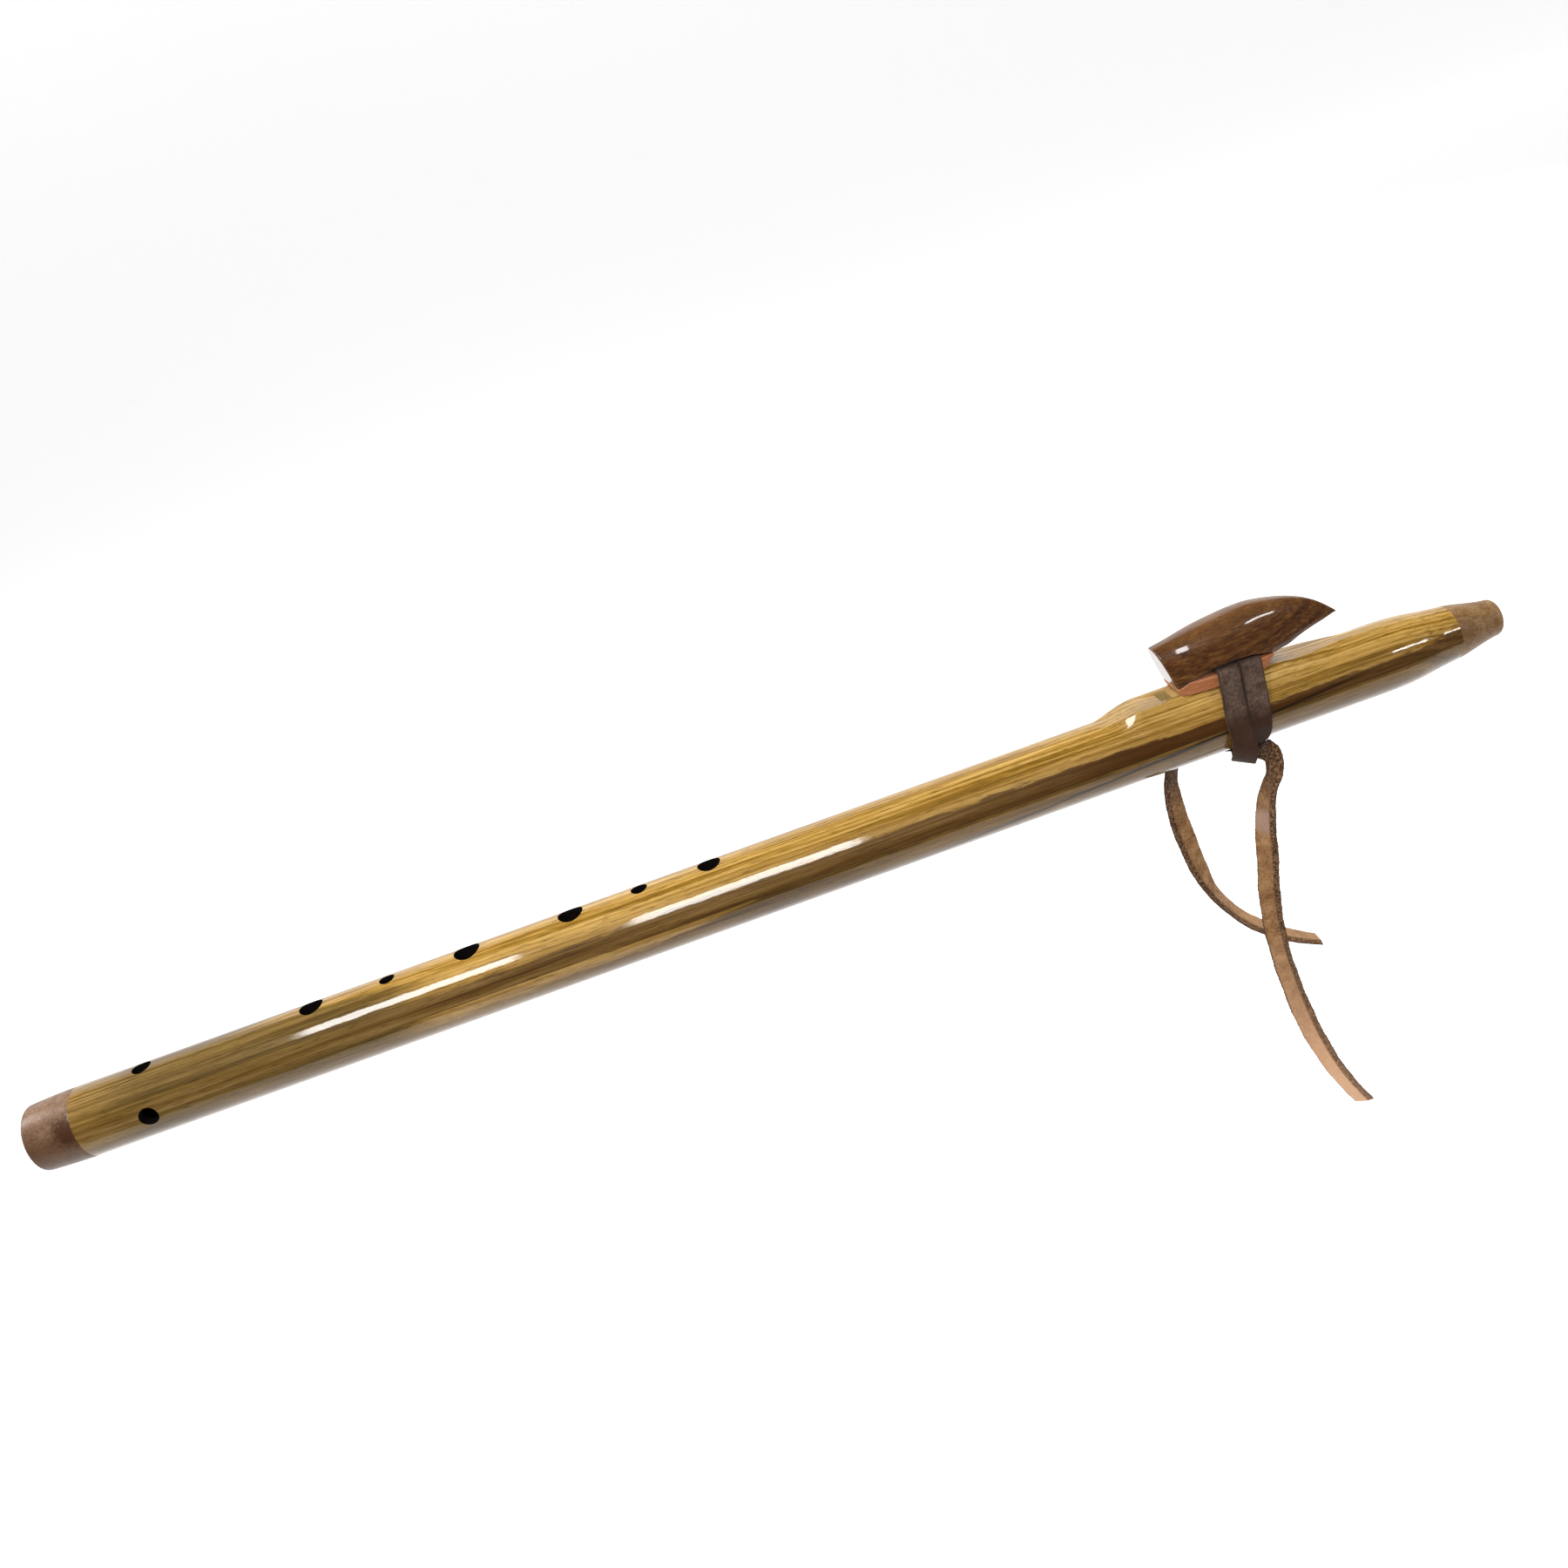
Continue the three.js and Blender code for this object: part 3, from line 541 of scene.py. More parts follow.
def cutters():
    """Everything that is bored, drilled and cut out of the tube."""
    bore = tube().bore_radius / MM
    top = nest_top()
    over = top + OVERRUN
    axis = TINY  # a cutter's profile stays this far from the axis, so that its rings stay open
    start_x = FOOT_X - OVERRUN
    end_x = JOINT_X + OVERRUN
    round_end = quarter(BORE_END_X - BORE_ROUNDING, bore - BORE_ROUNDING, BORE_ROUNDING, 0)[::-1]
    sound_bore = np.vstack([[start_x, axis], [start_x, bore], round_end, [BORE_END_X, axis]])
    air_chamber = [
        [CHAMBER_X, axis], [CHAMBER_X, CHAMBER_RADIUS - BORE_ROUNDING],
        [CHAMBER_X + BORE_ROUNDING, CHAMBER_RADIUS], [CHAMBER_END_X, CHAMBER_RADIUS],
        [THROAT_END_X, BREATH_RADIUS], [end_x, BREATH_RADIUS], [end_x, axis],
    ]
    made = [
        solid("sound_bore_cutter", revolved(sound_bore, 96)),
        solid("air_chamber_cutter", revolved(air_chamber, 96)),
    ]
    for k, (x, radius) in enumerate(FINGER_HOLES):
        made.append(drill(f"finger_cutter_{k}", x, radius, 0, over))
    for k in range(DIRECTION_COUNT):
        turn = k * 2 * math.pi / DIRECTION_COUNT
        made.append(drill(f"direction_cutter_{k}", *DIRECTION_HOLE, turn, over, 56))
    flue = tube().flue_width / MM / 2
    flue_x = (EDGE_X + SOUND_HOLE_END_X) / 2
    made.append(slot("sound_hole_cutter", EDGE_X, SOUND_HOLE_END_X, 0, over, flue))
    made.append(slot("flue_cutter", flue_x, EXIT_END_X, top - FLUE_DEPTH, over, flue))
    made.append(slot("exit_cutter", EXIT_X, EXIT_END_X, 0, over, EXIT_HALF))
    made.append(prism("edge_cutter", [
        [EDGE_X - EDGE_RAMP, top], [EDGE_X, top - EDGE_DROP], [flue_x, top - EDGE_DROP],
        [flue_x, over], [EDGE_X - EDGE_RAMP, over],
    ], flue))
    return made


def cut(piece, tools, operation):
    """The piece with the tools taken away from it, or kept to what lies in them, as a new mesh."""
    for tool in tools:
        modifier = piece.modifiers.new(tool.name, "BOOLEAN")
        modifier.solver = "MANIFOLD"
        modifier.operation = operation
        modifier.object = tool
    bpy.context.view_layer.update()
    evaluated = piece.evaluated_get(bpy.context.evaluated_depsgraph_get())
    mesh = bpy.data.meshes.new_from_object(evaluated)
    piece.modifiers.clear()
    return mesh


def discard(*objects):
    """Removes helper objects together with their meshes."""
    for item in objects:
        mesh = item.data
        bpy.data.objects.remove(item)
        bpy.data.meshes.remove(mesh)


def dress_half(name, mesh):
    """One half of the tube: the skin's corners get the skin's own normals, so that light runs
    smoothly up to the holes' rims, and the holes and the voicing get their own materials."""
    half = put(name, mesh)
    mesh.name = name
    mesh.materials.clear()
    mesh.shade_smooth()
    mesh.set_sharp_from_angle(angle=math.radians(30))
    count = len(mesh.polygons)
    centre, facing = np.zeros(count * 3), np.zeros(count * 3)
    mesh.polygons.foreach_get("center", centre)
    mesh.polygons.foreach_get("normal", facing)
    centre = centre.reshape(-1, 3)
    x, turn = centre[:, 0], np.arctan2(-centre[:, 1], centre[:, 2])
    radius = np.hypot(centre[:, 1], centre[:, 2])
    outer = (radius > skin(x, turn) - SKIN_DEPTH) & (x > RING_X + TINY) & (x < JOINT_X - TINY)
    outer &= np.einsum("ij,ij->i", facing.reshape(-1, 3), skin_normal(x, turn)) > SKIN_LEAN
    voiced = (x > EDGE_X - EDGE_RAMP - VOICED_MARGIN) & (x < EXIT_END_X + VOICED_MARGIN)
    voiced &= centre[:, 2] > VOICED_Z
    index = np.where(outer, 0, np.where(voiced, 2, 1)).astype(np.int32)
    mesh.polygons.foreach_set("material_index", index)
    corners = np.zeros(len(mesh.loops) * 3)
    mesh.corner_normals.foreach_get("vector", corners)
    corners = corners.reshape(-1, 3)
    vertex = np.zeros(len(mesh.loops), np.int32)
    mesh.loops.foreach_get("vertex_index", vertex)
    total = np.zeros(count, np.int32)
    mesh.polygons.foreach_get("loop_total", total)
    on_skin = np.repeat(outer, total)
    points = points_of(mesh)[vertex[on_skin]]
    corners[on_skin] = skin_normal(points[:, 0], np.arctan2(-points[:, 1], points[:, 2]))
    settle(half)
    mesh.normals_split_custom_set(corners.tolist())
    return half


def block_curves(x):
    """The block's half-width, crown and underside at places along it, from its table."""
    sizes = bpy.context.scene.flute_block
    share = (x - FRONT_X) / (sizes.length / MM)
    half = sizes.half_width / MM * shares_at(BLOCK_SHARES, share, 1)
    crown, under = (
        nest_top() + sizes.height / MM * shares_at(BLOCK_SHARES, share, column) for column in (2, 3)
    )
    return half, crown, under


def front_x(z):
    """Where the leaning front stands at a height."""
    lean = math.tan(bpy.context.scene.flute_block.lean)
    return FRONT_X - (z - nest_top()) * lean


def arch_z(x, radius):
    """Height of an arc round the centre of the arch in the block's underside."""
    away = np.clip(np.abs(x - ARCH_X), 0, radius)
    return ARCH_APEX - ARCH_RADIUS + np.sqrt(radius**2 - away**2)


def mirrored(x, y, z):
    """Rings closed by the mirror image of one side across the middle plane."""
    right = np.stack([x, y, z], -1)
    return np.concatenate([right, right[:, -2:0:-1] * [1, -1, 1]], 1)


def front_face(ring):
    """Rings that close a flat end: the outline drawn in towards its middle."""
    middle = ring.mean(0)
    shrunk = np.array([0.03, 0.3, 0.6, 0.85, 0.97])[:, None, None]
    return middle + (ring - middle) * shrunk


def rounded_end(size, steps=9):
    """How far from a flat end, and how far in from the outline, the places of its rounding lie."""
    turn = np.radians(np.linspace(0, 90, steps))
    return size * (1 - np.cos(turn)), size * (1 - np.sin(turn))


def drawn_in(y, z, inset):
    """Sections made smaller all round by an inset, towards their middles."""
    middle = (z.max(1, keepdims=True) + z.min(1, keepdims=True)) / 2
    y = y - inset * y / np.maximum(y.max(1, keepdims=True), TINY)
    return y, z - inset * (z - middle) / np.maximum(z.max(1, keepdims=True) - middle, TINY)


def block_rings():
    """The block as rings from its leaning front to its tip. A ring's points run from the middle of
    the underside round a small edge, up the flank and over the crown. The flanks are a
    superellipse above the belly and a quarter ellipse below it. The place along the block follows
    from the point's own height, so it is found by repeating the formulas."""
    tip_x = FRONT_X + bpy.context.scene.flute_block.length / MM
    length = tip_x - FRONT_X
    end, inset = rounded_end(BLOCK_FRONT_EDGE)
    body = np.linspace(0, 1, 170)[1:] ** 0.92  # a little closer together towards the tip
    away = np.concatenate([end, BLOCK_FRONT_EDGE + (length - BLOCK_FRONT_EDGE) * body])[:, None]
    inset = np.concatenate([inset, np.zeros(len(body))])[:, None]
    flat = np.linspace(0, 1, 12)[:-1]
    bend = np.radians(np.linspace(0, 90, 7))[:-1]
    climb = np.sin(np.radians(np.linspace(0, 90, 52)))
    foot, edge = slice(0, len(flat)), slice(len(flat), len(flat) + len(bend))
    up = np.concatenate([np.zeros(len(flat) + len(bend)), climb])
    x = FRONT_X + np.repeat(away, len(up), 1)
    for _ in range(12):
        half, crown, under = block_curves(x)
        low = np.maximum(under, arch_z(x, ARCH_RADIUS))
        size = np.minimum(BLOCK_EDGE, (crown - low) * 0.3)  # the edge shrinks at the tip
        first = size / np.maximum(crown - low, TINY)
        start = (low - under) / (crown - under)
        t = start + (1 - start) * (first + (1 - first) * up)
        over = np.clip((t - BELLY_SHARE) / (1 - BELLY_SHARE), 0, 1)
        tuck = np.clip((BELLY_SHARE - t) / BELLY_SHARE, 0, 1)
        across = (1 - over**CROWN_POWER) ** (1 / FLANK_POWER)
        across -= BELLY_TUCK * (1 - np.sqrt(1 - tuck**2))
        y, z = half * across, under + (crown - under) * t
        corner = np.minimum(size, y * 0.6)
        inner = y - corner
        y[:, foot] = inner[:, foot] * flat
        z[:, foot] = low[:, foot]
        y[:, edge] = inner[:, edge] + corner[:, edge] * np.sin(bend)
        z[:, edge] = low[:, edge] + size[:, edge] * (1 - np.cos(bend))
        front = front_x(z)
        x = front + (tip_x - front) * away / length
    y, z = drawn_in(y, z, inset)
    x = np.where(inset > 0, front_x(z) + away, x)
    rings = mirrored(x, y, z)
    return np.concatenate([front_face(rings[0]), rings])


def slab_rings():
    """The base as rings from its leaning front to its sloping rear: a rounded rectangle as wide as
    the block above it, from the nest up to the slab's face or the arch, whichever is lower."""
    top = nest_top()
    end, inset = rounded_end(BASE_EDGE, 6)
    middle_x = np.linspace(BASE_EDGE, BASE_LENGTH - BASE_EDGE, 70)[1:-1]
    away = np.concatenate([end, middle_x, BASE_LENGTH - end[::-1]])[:, None]
    inset = np.concatenate([inset, np.zeros(len(middle_x)), inset[::-1]])[:, None]
    flat = np.linspace(0, 1, 9)
    bend = np.radians(np.linspace(0, 90, 6))
    upright = np.linspace(0, 1, 5)[1:-1]
    lows, foot, side, brow, highs = np.split(
        np.arange(2 * len(flat) + 2 * len(bend) + len(upright)),
        np.cumsum([len(flat), len(bend), len(upright), len(bend)]),
    )
    x = FRONT_X + np.repeat(away, highs[-1] + 1, 1)
    for _ in range(8):
        half = block_curves(x)[0]
        inner = half - BASE_EDGE
        high = np.minimum(top + BASE_THICKNESS, arch_z(x, ARCH_RADIUS - GLUE_GAP))
        y, z = half.copy(), np.full_like(x, top)
        y[:, lows] = inner[:, lows] * flat
        y[:, foot] = inner[:, foot] + BASE_EDGE * np.sin(bend)
        y[:, brow] = inner[:, brow] + BASE_EDGE * np.cos(bend)
        y[:, highs] = inner[:, highs] * flat[::-1]
        z[:, foot] = top + BASE_EDGE * (1 - np.cos(bend))
        z[:, side] = top + BASE_EDGE + (high[:, side] - top - 2 * BASE_EDGE) * upright
        z[:, brow] = high[:, brow] - BASE_EDGE + BASE_EDGE * np.sin(bend)
        z[:, highs] = high[:, highs]
        front = front_x(z)
        rear = FRONT_X + BASE_LENGTH - BASE_REAR_SLOPE * (1 - (z - top) / BASE_THICKNESS)
        x = front + (rear - front) * away / BASE_LENGTH
    rings = mirrored(x, *drawn_in(y, z, inset))
    return np.concatenate([front_face(rings[0]), rings, front_face(rings[-1])[::-1]])


def leaned(across, up):
    """A place or a direction drawn straight below the tube, leaned to where the knot lies."""
    cos, sin = math.cos(KNOT_TURN), math.sin(KNOT_TURN)
    return across * cos - up * sin, across * sin + up * cos


def lace_stops():
    """The winding's middle line with the way it faces: from the knot round the tube, up the facet
    to the base's corner, over the base, down again and back, moving evenly along the tube."""
    radius = tube().radius / MM
    bend = LACE_GAP + lacing().thickness / MM / 2
    half = bpy.context.scene.flute_block.half_width / MM
    crown = nest_top() + BASE_THICKNESS
    tangent = math.atan2(half, crown) + math.acos(radius / math.hypot(half, crown))
    start = math.pi - KNOT_TURN

    def bent(y, z, size, first, last, count):
        turn = np.linspace(first, last, count)
        out = np.stack([np.sin(turn), np.cos(turn)], 1)
        return np.hstack([[y, z] + size * out, out])

    corner = bent(half, crown, bend, tangent, 0, 16)
    lap = np.vstack([
        bent(0, 0, radius + bend, start, tangent, 70),
        corner,
        corner[::-1] * [-1, 1, -1, 1],
        bent(0, 0, radius + bend, -tangent, start - 2 * math.pi, LOW_STEPS),
    ])
    laps = np.vstack([lap] + [lap[1:]] * (LACE_TURNS - 1))
    run = distances(laps[:, :2])
    x = LACE_MIDDLE_X - LACE_PITCH * LACE_TURNS * run / run[-1]
    away = np.degrees(np.linspace(tangent, 2 * math.pi - start, LOW_STEPS))
    hang = swell(away, *SLACK_HANG)
    laps[-LOW_STEPS:, :2] *= (1 + SLACK_OUT * hang / (radius + bend))[:, None]
    x[-LOW_STEPS:] += SLACK_ALONG * swell(away, *SLACK_STRAY) + SLACK_BACK * swell(away, *SLACK_RETURN)
    tilt = np.zeros(len(laps))
    tilt[-LOW_STEPS:] = SLACK_TILT * hang
    facing = np.column_stack([-np.sin(tilt), np.cos(tilt)[:, None] * laps[:, 2:]])
    reach = lacing().width / MM / 2
    first, last = (
        [[at, *leaned(across, -radius - bend), 0, *leaned(0, -1)]]
        for at, across in ((x[0], -reach), (x[-1], reach))
    )
    stops = evenly(np.vstack([first, np.column_stack([x, laps[:, :2], facing]), last]), WINDING_STEP)
    return stops[:, :3], stops[:, 3:]


def lace_section(slant):
    """Outline of the lace, as places across and out from its middle: two flat faces and two cut
    edges with small roundings. The slant, -1, 0 or 1, is the side whose face was cut away."""
    width = lacing().width / MM
    thickness = lacing().thickness / MM
    corner = 0.3 * thickness
    turn = np.radians(np.linspace(0, 90, 4))
    flat = np.linspace(-1, 1, 15)[1:-1] * (width / 2 - corner)
    top = np.stack([flat[::-1], np.full(len(flat), thickness / 2)], 1)
    right = [width / 2, thickness / 2] + corner * (np.stack([np.cos(turn), np.sin(turn)], 1) - 1)
    upper = np.vstack([right, top, right[::-1] * [-1, 1]])
    lower = -upper
    share = np.clip((upper[:, 0] * slant / (width / 2) - SLANT_START) / (1 - SLANT_START), 0, 1)
    upper[:, 1] -= share * SLANT_DROP
    return np.vstack([upper, lower])


def band(name, path, facing, seed, width_shares=1.0, waver=WINDING_WAVER, slant=0):
    """The lace carried along a path. At each place its section stands across the path, turned to
    face the given way. Its edges wander, on sums of sines of ever shorter waves."""
    half_width = lacing().width / MM / 2
    along = unit(np.gradient(path, axis=0))
    out = unit(facing - along * np.einsum("ij,ij->i", facing, along)[:, None])
    across = np.cross(out, along)
    run = distances(path)
    section = lace_section(slant)
    place_across = section[:, 0] / half_width
    side = np.where(section[:, 0] > 0, 0.0, 1.7)
    wander = np.zeros((len(path), len(section)))
    for k, (wave, part) in enumerate(WANDER_WAVES):
        phase = seed * (k + 1.3) + side * (k + 1)
        wander += waver * part * np.sin(2 * math.pi * run[:, None] / wave + phase)
    share = np.broadcast_to(width_shares, len(path))[:, None]
    across_by = section[:, 0] * share + wander * np.sign(place_across) * np.abs(place_across) ** 6
    rings = path[:, None] + across[:, None] * across_by[..., None] + out[:, None] * section[:, 1][:, None]
    made = solid(name, rings)
    for key, values, ends in (
        ("across", np.tile(place_across * (slant or 1), len(path)), [0.0, 0.0]),
        ("run", np.repeat(run, len(section)), [0.0, run[-1]]),
    ):
        attribute = made.data.attributes.new(key, "FLOAT", "POINT")
        attribute.data.foreach_set("value", np.append(values, ends))
    middle = (section + np.roll(section, -1, 0)) / 2
    on_upper = np.arange(len(section)) < len(section) // 2
    raw = np.abs(middle[:, 0]) / half_width > CUT_SHARE
    kind = np.where(raw, 2, np.where(on_upper, 0, 1))
    index = np.append(np.tile(kind, len(path) - 1), np.full(2 * len(section), 2)).astype(np.int32)
    made.data.polygons.foreach_set("material_index", index)
    return soften(settle(made), 50)


def centripetal(values, steps, spaced):
    """Catmull-Rom curve through rows of values, whose knots stand apart by the root of the distance
    between the points that go with them."""
    apart = np.sqrt(np.linalg.norm(np.diff(spaced, axis=0), axis=1))
    apart = np.concatenate([apart[:1], apart, apart[-1:]])
    ends = [2 * values[0] - values[1], 2 * values[-1] - values[-2]]
    padded = np.vstack([ends[:1], values, ends[1:]])
    pieces = []
    for i in range(len(values) - 1):
        a, b, c, d = padded[i:i + 4]
        before, here, after = apart[i:i + 3]
        rise = ((b - a) / before - (c - a) / (before + here) + (c - b) / here) * here
        fall = ((c - b) / here - (d - b) / (here + after) + (d - c) / after) * here
        t = (np.arange(steps) / steps)[:, None]
        square, cube = 3 * (c - b) - 2 * rise - fall, 2 * (b - c) + rise + fall
        pieces.append(b + rise * t + square * t**2 + cube * t**3)
    return np.vstack(pieces + [values[-1:]])


def hanging(route, start, twist):
    """A tail's middle line and the way it faces, in mm. The line is the curve through the route,
    spaced by the root of each step. It faces the near side, turned about itself by the twist."""
    points = (np.asarray(route) * ROUTE_UNIT + start) / MM - [0, 0, tube().radius / MM]
    line = evenly(centripetal(np.column_stack([points, np.radians(twist)]), 24, points), TAIL_STEP)
    path, angle = line[:, :3], line[:, 3:]
    along = unit(np.gradient(path, axis=0))
    facing = unit(NEAR_SIDE - along * (along @ np.array(NEAR_SIDE))[:, None])
    return path, facing * np.cos(angle) + np.cross(along, facing) * np.sin(angle)


def linear(colour):
    """An sRGB hex colour, or a grey from 0 to 1 as it is, as linear red, green, blue and alpha."""
    if not isinstance(colour, str):
        return (colour, colour, colour, 1.0)
    value = np.array([int(colour[k:k + 2], 16) for k in (1, 3, 5)]) / 255
    value = np.where(value <= 0.04045, value / 12.92, ((value + 0.055) / 1.055) ** 2.4)
    return (*value.tolist(), 1.0)


def result(value):
    """What an input is given: a node's result, a hex colour as linear light, or the value itself."""
    if isinstance(value, bpy.types.Node):
        return value.outputs[2 if value.bl_idname == "ShaderNodeMix" else 0]
    return linear(value) if isinstance(value, str) else value


def add(tree, kind, inputs=(), stops=(), **settings):
    """Adds one node with its settings and links. Its inputs are listed in order, or given by name or
    number: values, hex colours, outputs, or nodes whose result they take. Stops are the places and
    colours of a colour ramp. Every mix here blends two colours."""
    node = tree.nodes.new("ShaderNode" + kind)
    if kind == "Mix":
        node.data_type = "RGBA"
    for name, value in settings.items():
        setattr(node, name, value)
    for name, value in (inputs if isinstance(inputs, dict) else dict(enumerate(inputs))).items():
        value = result(value)
        if isinstance(value, bpy.types.NodeSocket):
            tree.links.new(value, node.inputs[name])
        else:
            node.inputs[name].default_value = value
    for k, (at, colour) in enumerate(stops):
        ramp = node.color_ramp.elements
        element = ramp[k] if k < 2 else ramp.new(at)
        element.position = at
        element.color = linear(colour)
    return node


def surface(name, **values):
    """A new material with its tree emptied down to the output and a Principled BSDF."""
    material = bpy.data.materials.new(name)
    material.use_nodes = True
    tree = material.node_tree
    tree.nodes.clear()
    inputs = {key.replace("_", " ").title().replace("Ior", "IOR"): value for key, value in values.items()}
    shader = add(tree, "BsdfPrincipled", inputs)
    add(tree, "OutputMaterial", {"Surface": shader})
    return material, tree, shader


def wood_places(tree, shift=(0, 0, 0), tilt=(0, 0, 0)):
    """Places in the wood in mm, from the tube's axis, or shifted and turned to another board."""
    point = add(tree, "TexCoord").outputs["Object"]
    axis = np.array([0, 0, -tube().radius / MM]) + shift
    return add(tree, "Mapping", {"Vector": point, "Scale": (1 / MM,) * 3, "Location": axis, "Rotation": tilt})


def streaks(tree, mm, size, detail=2.0, roughness=0.5):
    """Noise drawn out along the grain: the sizes of its grains along, across and up, in mm."""
    spread = add(tree, "Mapping", {"Vector": mm, "Scale": [1 / s for s in size]})
    inputs = {"Vector": spread, "Scale": 1.0, "Detail": detail, "Roughness": roughness}
    return add(tree, "TexNoise", inputs)


def layers(tree, mm, swell_by, bow, size):
    """Fine growth layers: noise by height in the board, which changes slowly along the grain. Slow
    swells and a bow across the board lift and drop the layers."""
    parts = add(tree, "SeparateXYZ", (mm,)).outputs
    slow = add(tree, "Math", (streaks(tree, mm, (150, 45, 45), 1.0), 0.5), operation="SUBTRACT")
    lifted = add(tree, "Math", (slow, swell_by, parts["Z"]), operation="MULTIPLY_ADD")
    square = add(tree, "Math", (parts["Y"], parts["Y"]), operation="MULTIPLY")
    height = add(tree, "Math", (square, -0.5 / bow, lifted), operation="MULTIPLY_ADD")
    sheet = add(tree, "CombineXYZ", {"X": parts["X"], "Z": height})
    return streaks(tree, sheet, (size[0], 1.0, size[1]), 5.0, 0.62)


def toned(tree, first, second, share):
    """Two patterns weighed together round their common middle."""
    part = add(tree, "Math", (second, share), operation="MULTIPLY")
    return add(tree, "Math", (first, 1 - share, part), operation="MULTIPLY_ADD")


def flecked(tree, colour, mm, size, start, dark, amount):
    """A colour with short dark flecks, the open pores. Their width is drawn coarser than the real
    quarter of a millimetre, so that it shows. Gives the colour and how deep each fleck lies."""
    fleck = streaks(tree, mm, size, 1.5, 0.55)
    depth = add(tree, "MapRange", (fleck, start, start + 0.1, 0.0, amount))
    return add(tree, "Mix", {0: depth, 6: colour, 7: dark}), depth


def worked(tree, shader, colour, height, strength, relief, invert=False):
    """Gives a surface its colour, and the light on it the relief of a pattern, in mm."""
    tree.links.new(result(colour), shader.inputs["Base Color"])
    inputs = {"Strength": strength, "Distance": relief * MM, "Height": height}
    tree.links.new(add(tree, "Bump", inputs, invert=invert).outputs[0], shader.inputs["Normal"])


def lacquered(tree, shader, mm, colour, depth, peel):
    """Flecks dent the wood a little under the lacquer, and the lacquer has a faint ripple."""
    worked(tree, shader, colour, depth, 0.25, RELIEF, invert=True)
    ripple = streaks(tree, mm, (9.0, 1.3, 1.3), 2.5, 0.6)
    wave = add(tree, "Bump", {"Strength": peel, "Distance": RELIEF * MM, "Height": ripple})
    tree.links.new(wave.outputs[0], shader.inputs["Coat Normal"])


def limba(name, shift, gold, brown, heart, strength, deep, seam):
    """Black limba, sanded and sprayed with clear lacquer: straight, fine gold and olive lines under
    a hard gloss, and a layer of dark heartwood. The heart lies below a height that changes along
    the board, given as shares of its span. Its strength and its depth of colour change along the
    board too, and the wood is duller towards the foot. A dark line runs low on the tube, and the
    glue line shows where the halves meet."""
    material, tree, shader = surface(
        name, roughness=0.45, ior=1.5, specular_ior_level=0.12,
        coat_weight=1.0, coat_roughness=0.055, coat_ior=1.5,
    )
    mm = wood_places(tree)
    x, y, z = add(tree, "SeparateXYZ", (mm,)).outputs
    line = layers(tree, wood_places(tree, shift, (GRAIN_TILT, 0, 0)), 3.0, 90.0, (170.0, 1.35))
    fibre = streaks(tree, mm, (20.0, 0.6, 0.6), 3.0, 0.62)
    ragged = streaks(tree, mm, (16.0, 1.6, 1.6), 4.0, 0.65)
    tone = toned(tree, line, fibre, 0.25)
    along = add(tree, "MapRange", (x, FOOT_X, MOUTH_END_X))
    light, olive, dark = (add(tree, "ValToRGB", (tone,), stops) for stops in (gold, OLIVE_STOPS, brown))
    deeper, edge, fades = (add(tree, "ValToRGB", (along,), stops) for stops in (deep, heart, strength))
    dark = add(tree, "Mix", {0: deeper, 6: dark, 7: "#452300"})
    level = add(tree, "Math", (edge, HEART_SPAN, -HEART_SPAN / 2), operation="MULTIPLY_ADD")
    level = add(tree, "Math", (ragged, 6.0, level), operation="MULTIPLY_ADD")
    below = add(tree, "Math", (level, z), operation="SUBTRACT")
    near = add(tree, "MapRange", (below, *WARM_EDGE, 0.0, 0.45))
    crept = add(tree, "Math", (y,), operation="ABSOLUTE")
    crept = add(tree, "Math", (crept, 7.0), operation="MINIMUM")
    crept = add(tree, "Math", (crept, -12.0, x), operation="MULTIPLY_ADD")
    crept = add(tree, "Math", (ragged, 30.0, crept), operation="MULTIPLY_ADD")
    foot = add(tree, "MapRange", (crept, *OLIVE_RUN, 0.0, 0.9), interpolation_type="SMOOTHSTEP")
    least = add(tree, "MapRange", (x, *OLIVE_END, 0.6, 1.0))
    foot = add(tree, "Math", (foot, least), operation="MULTIPLY")
    heartwood = add(tree, "MapRange", (below, *HEART_EDGE), interpolation_type="SMOOTHSTEP")
    heartwood = add(tree, "Math", (heartwood, fades), operation="MULTIPLY")
    streak = add(tree, "Math", (x, -STREAK_RISE, z), operation="MULTIPLY_ADD")
    streak = add(tree, "Math", (streak, STREAK_DROP), operation="ADD")
    streak = add(tree, "Math", (streak,), operation="ABSOLUTE")
    streak = add(tree, "MapRange", (streak, *STREAK_EDGE, 0.9, 0.0))
    ends = add(tree, "MapRange", (x, *STREAK_END, 1.0, 0.0))
    streak = add(tree, "Math", (streak, ends), operation="MULTIPLY")
    glue = add(tree, "Math", (z,), operation="ABSOLUTE")
    glue = add(tree, "MapRange", (glue, *GLUE_EDGE, seam, 0.0))
    shown = add(tree, "MapRange", (x, *GLUE_SHOWN, 0.35, 1.0))
    glue = add(tree, "Math", (glue, shown), operation="MULTIPLY")
    colour = light
    for part, over in (
        (near, "#7a5820"), (foot, olive), (heartwood, dark), (streak, "#1c0e02"), (glue, "#241200"),
    ):
        colour = add(tree, "Mix", {0: part, 6: colour, 7: over})
    colour, depth = flecked(tree, colour, mm, (7.0, 0.45, 0.45), 0.58, "#3a2206", 0.55)
    lacquered(tree, shader, mm, colour, depth, 0.3)
    return material


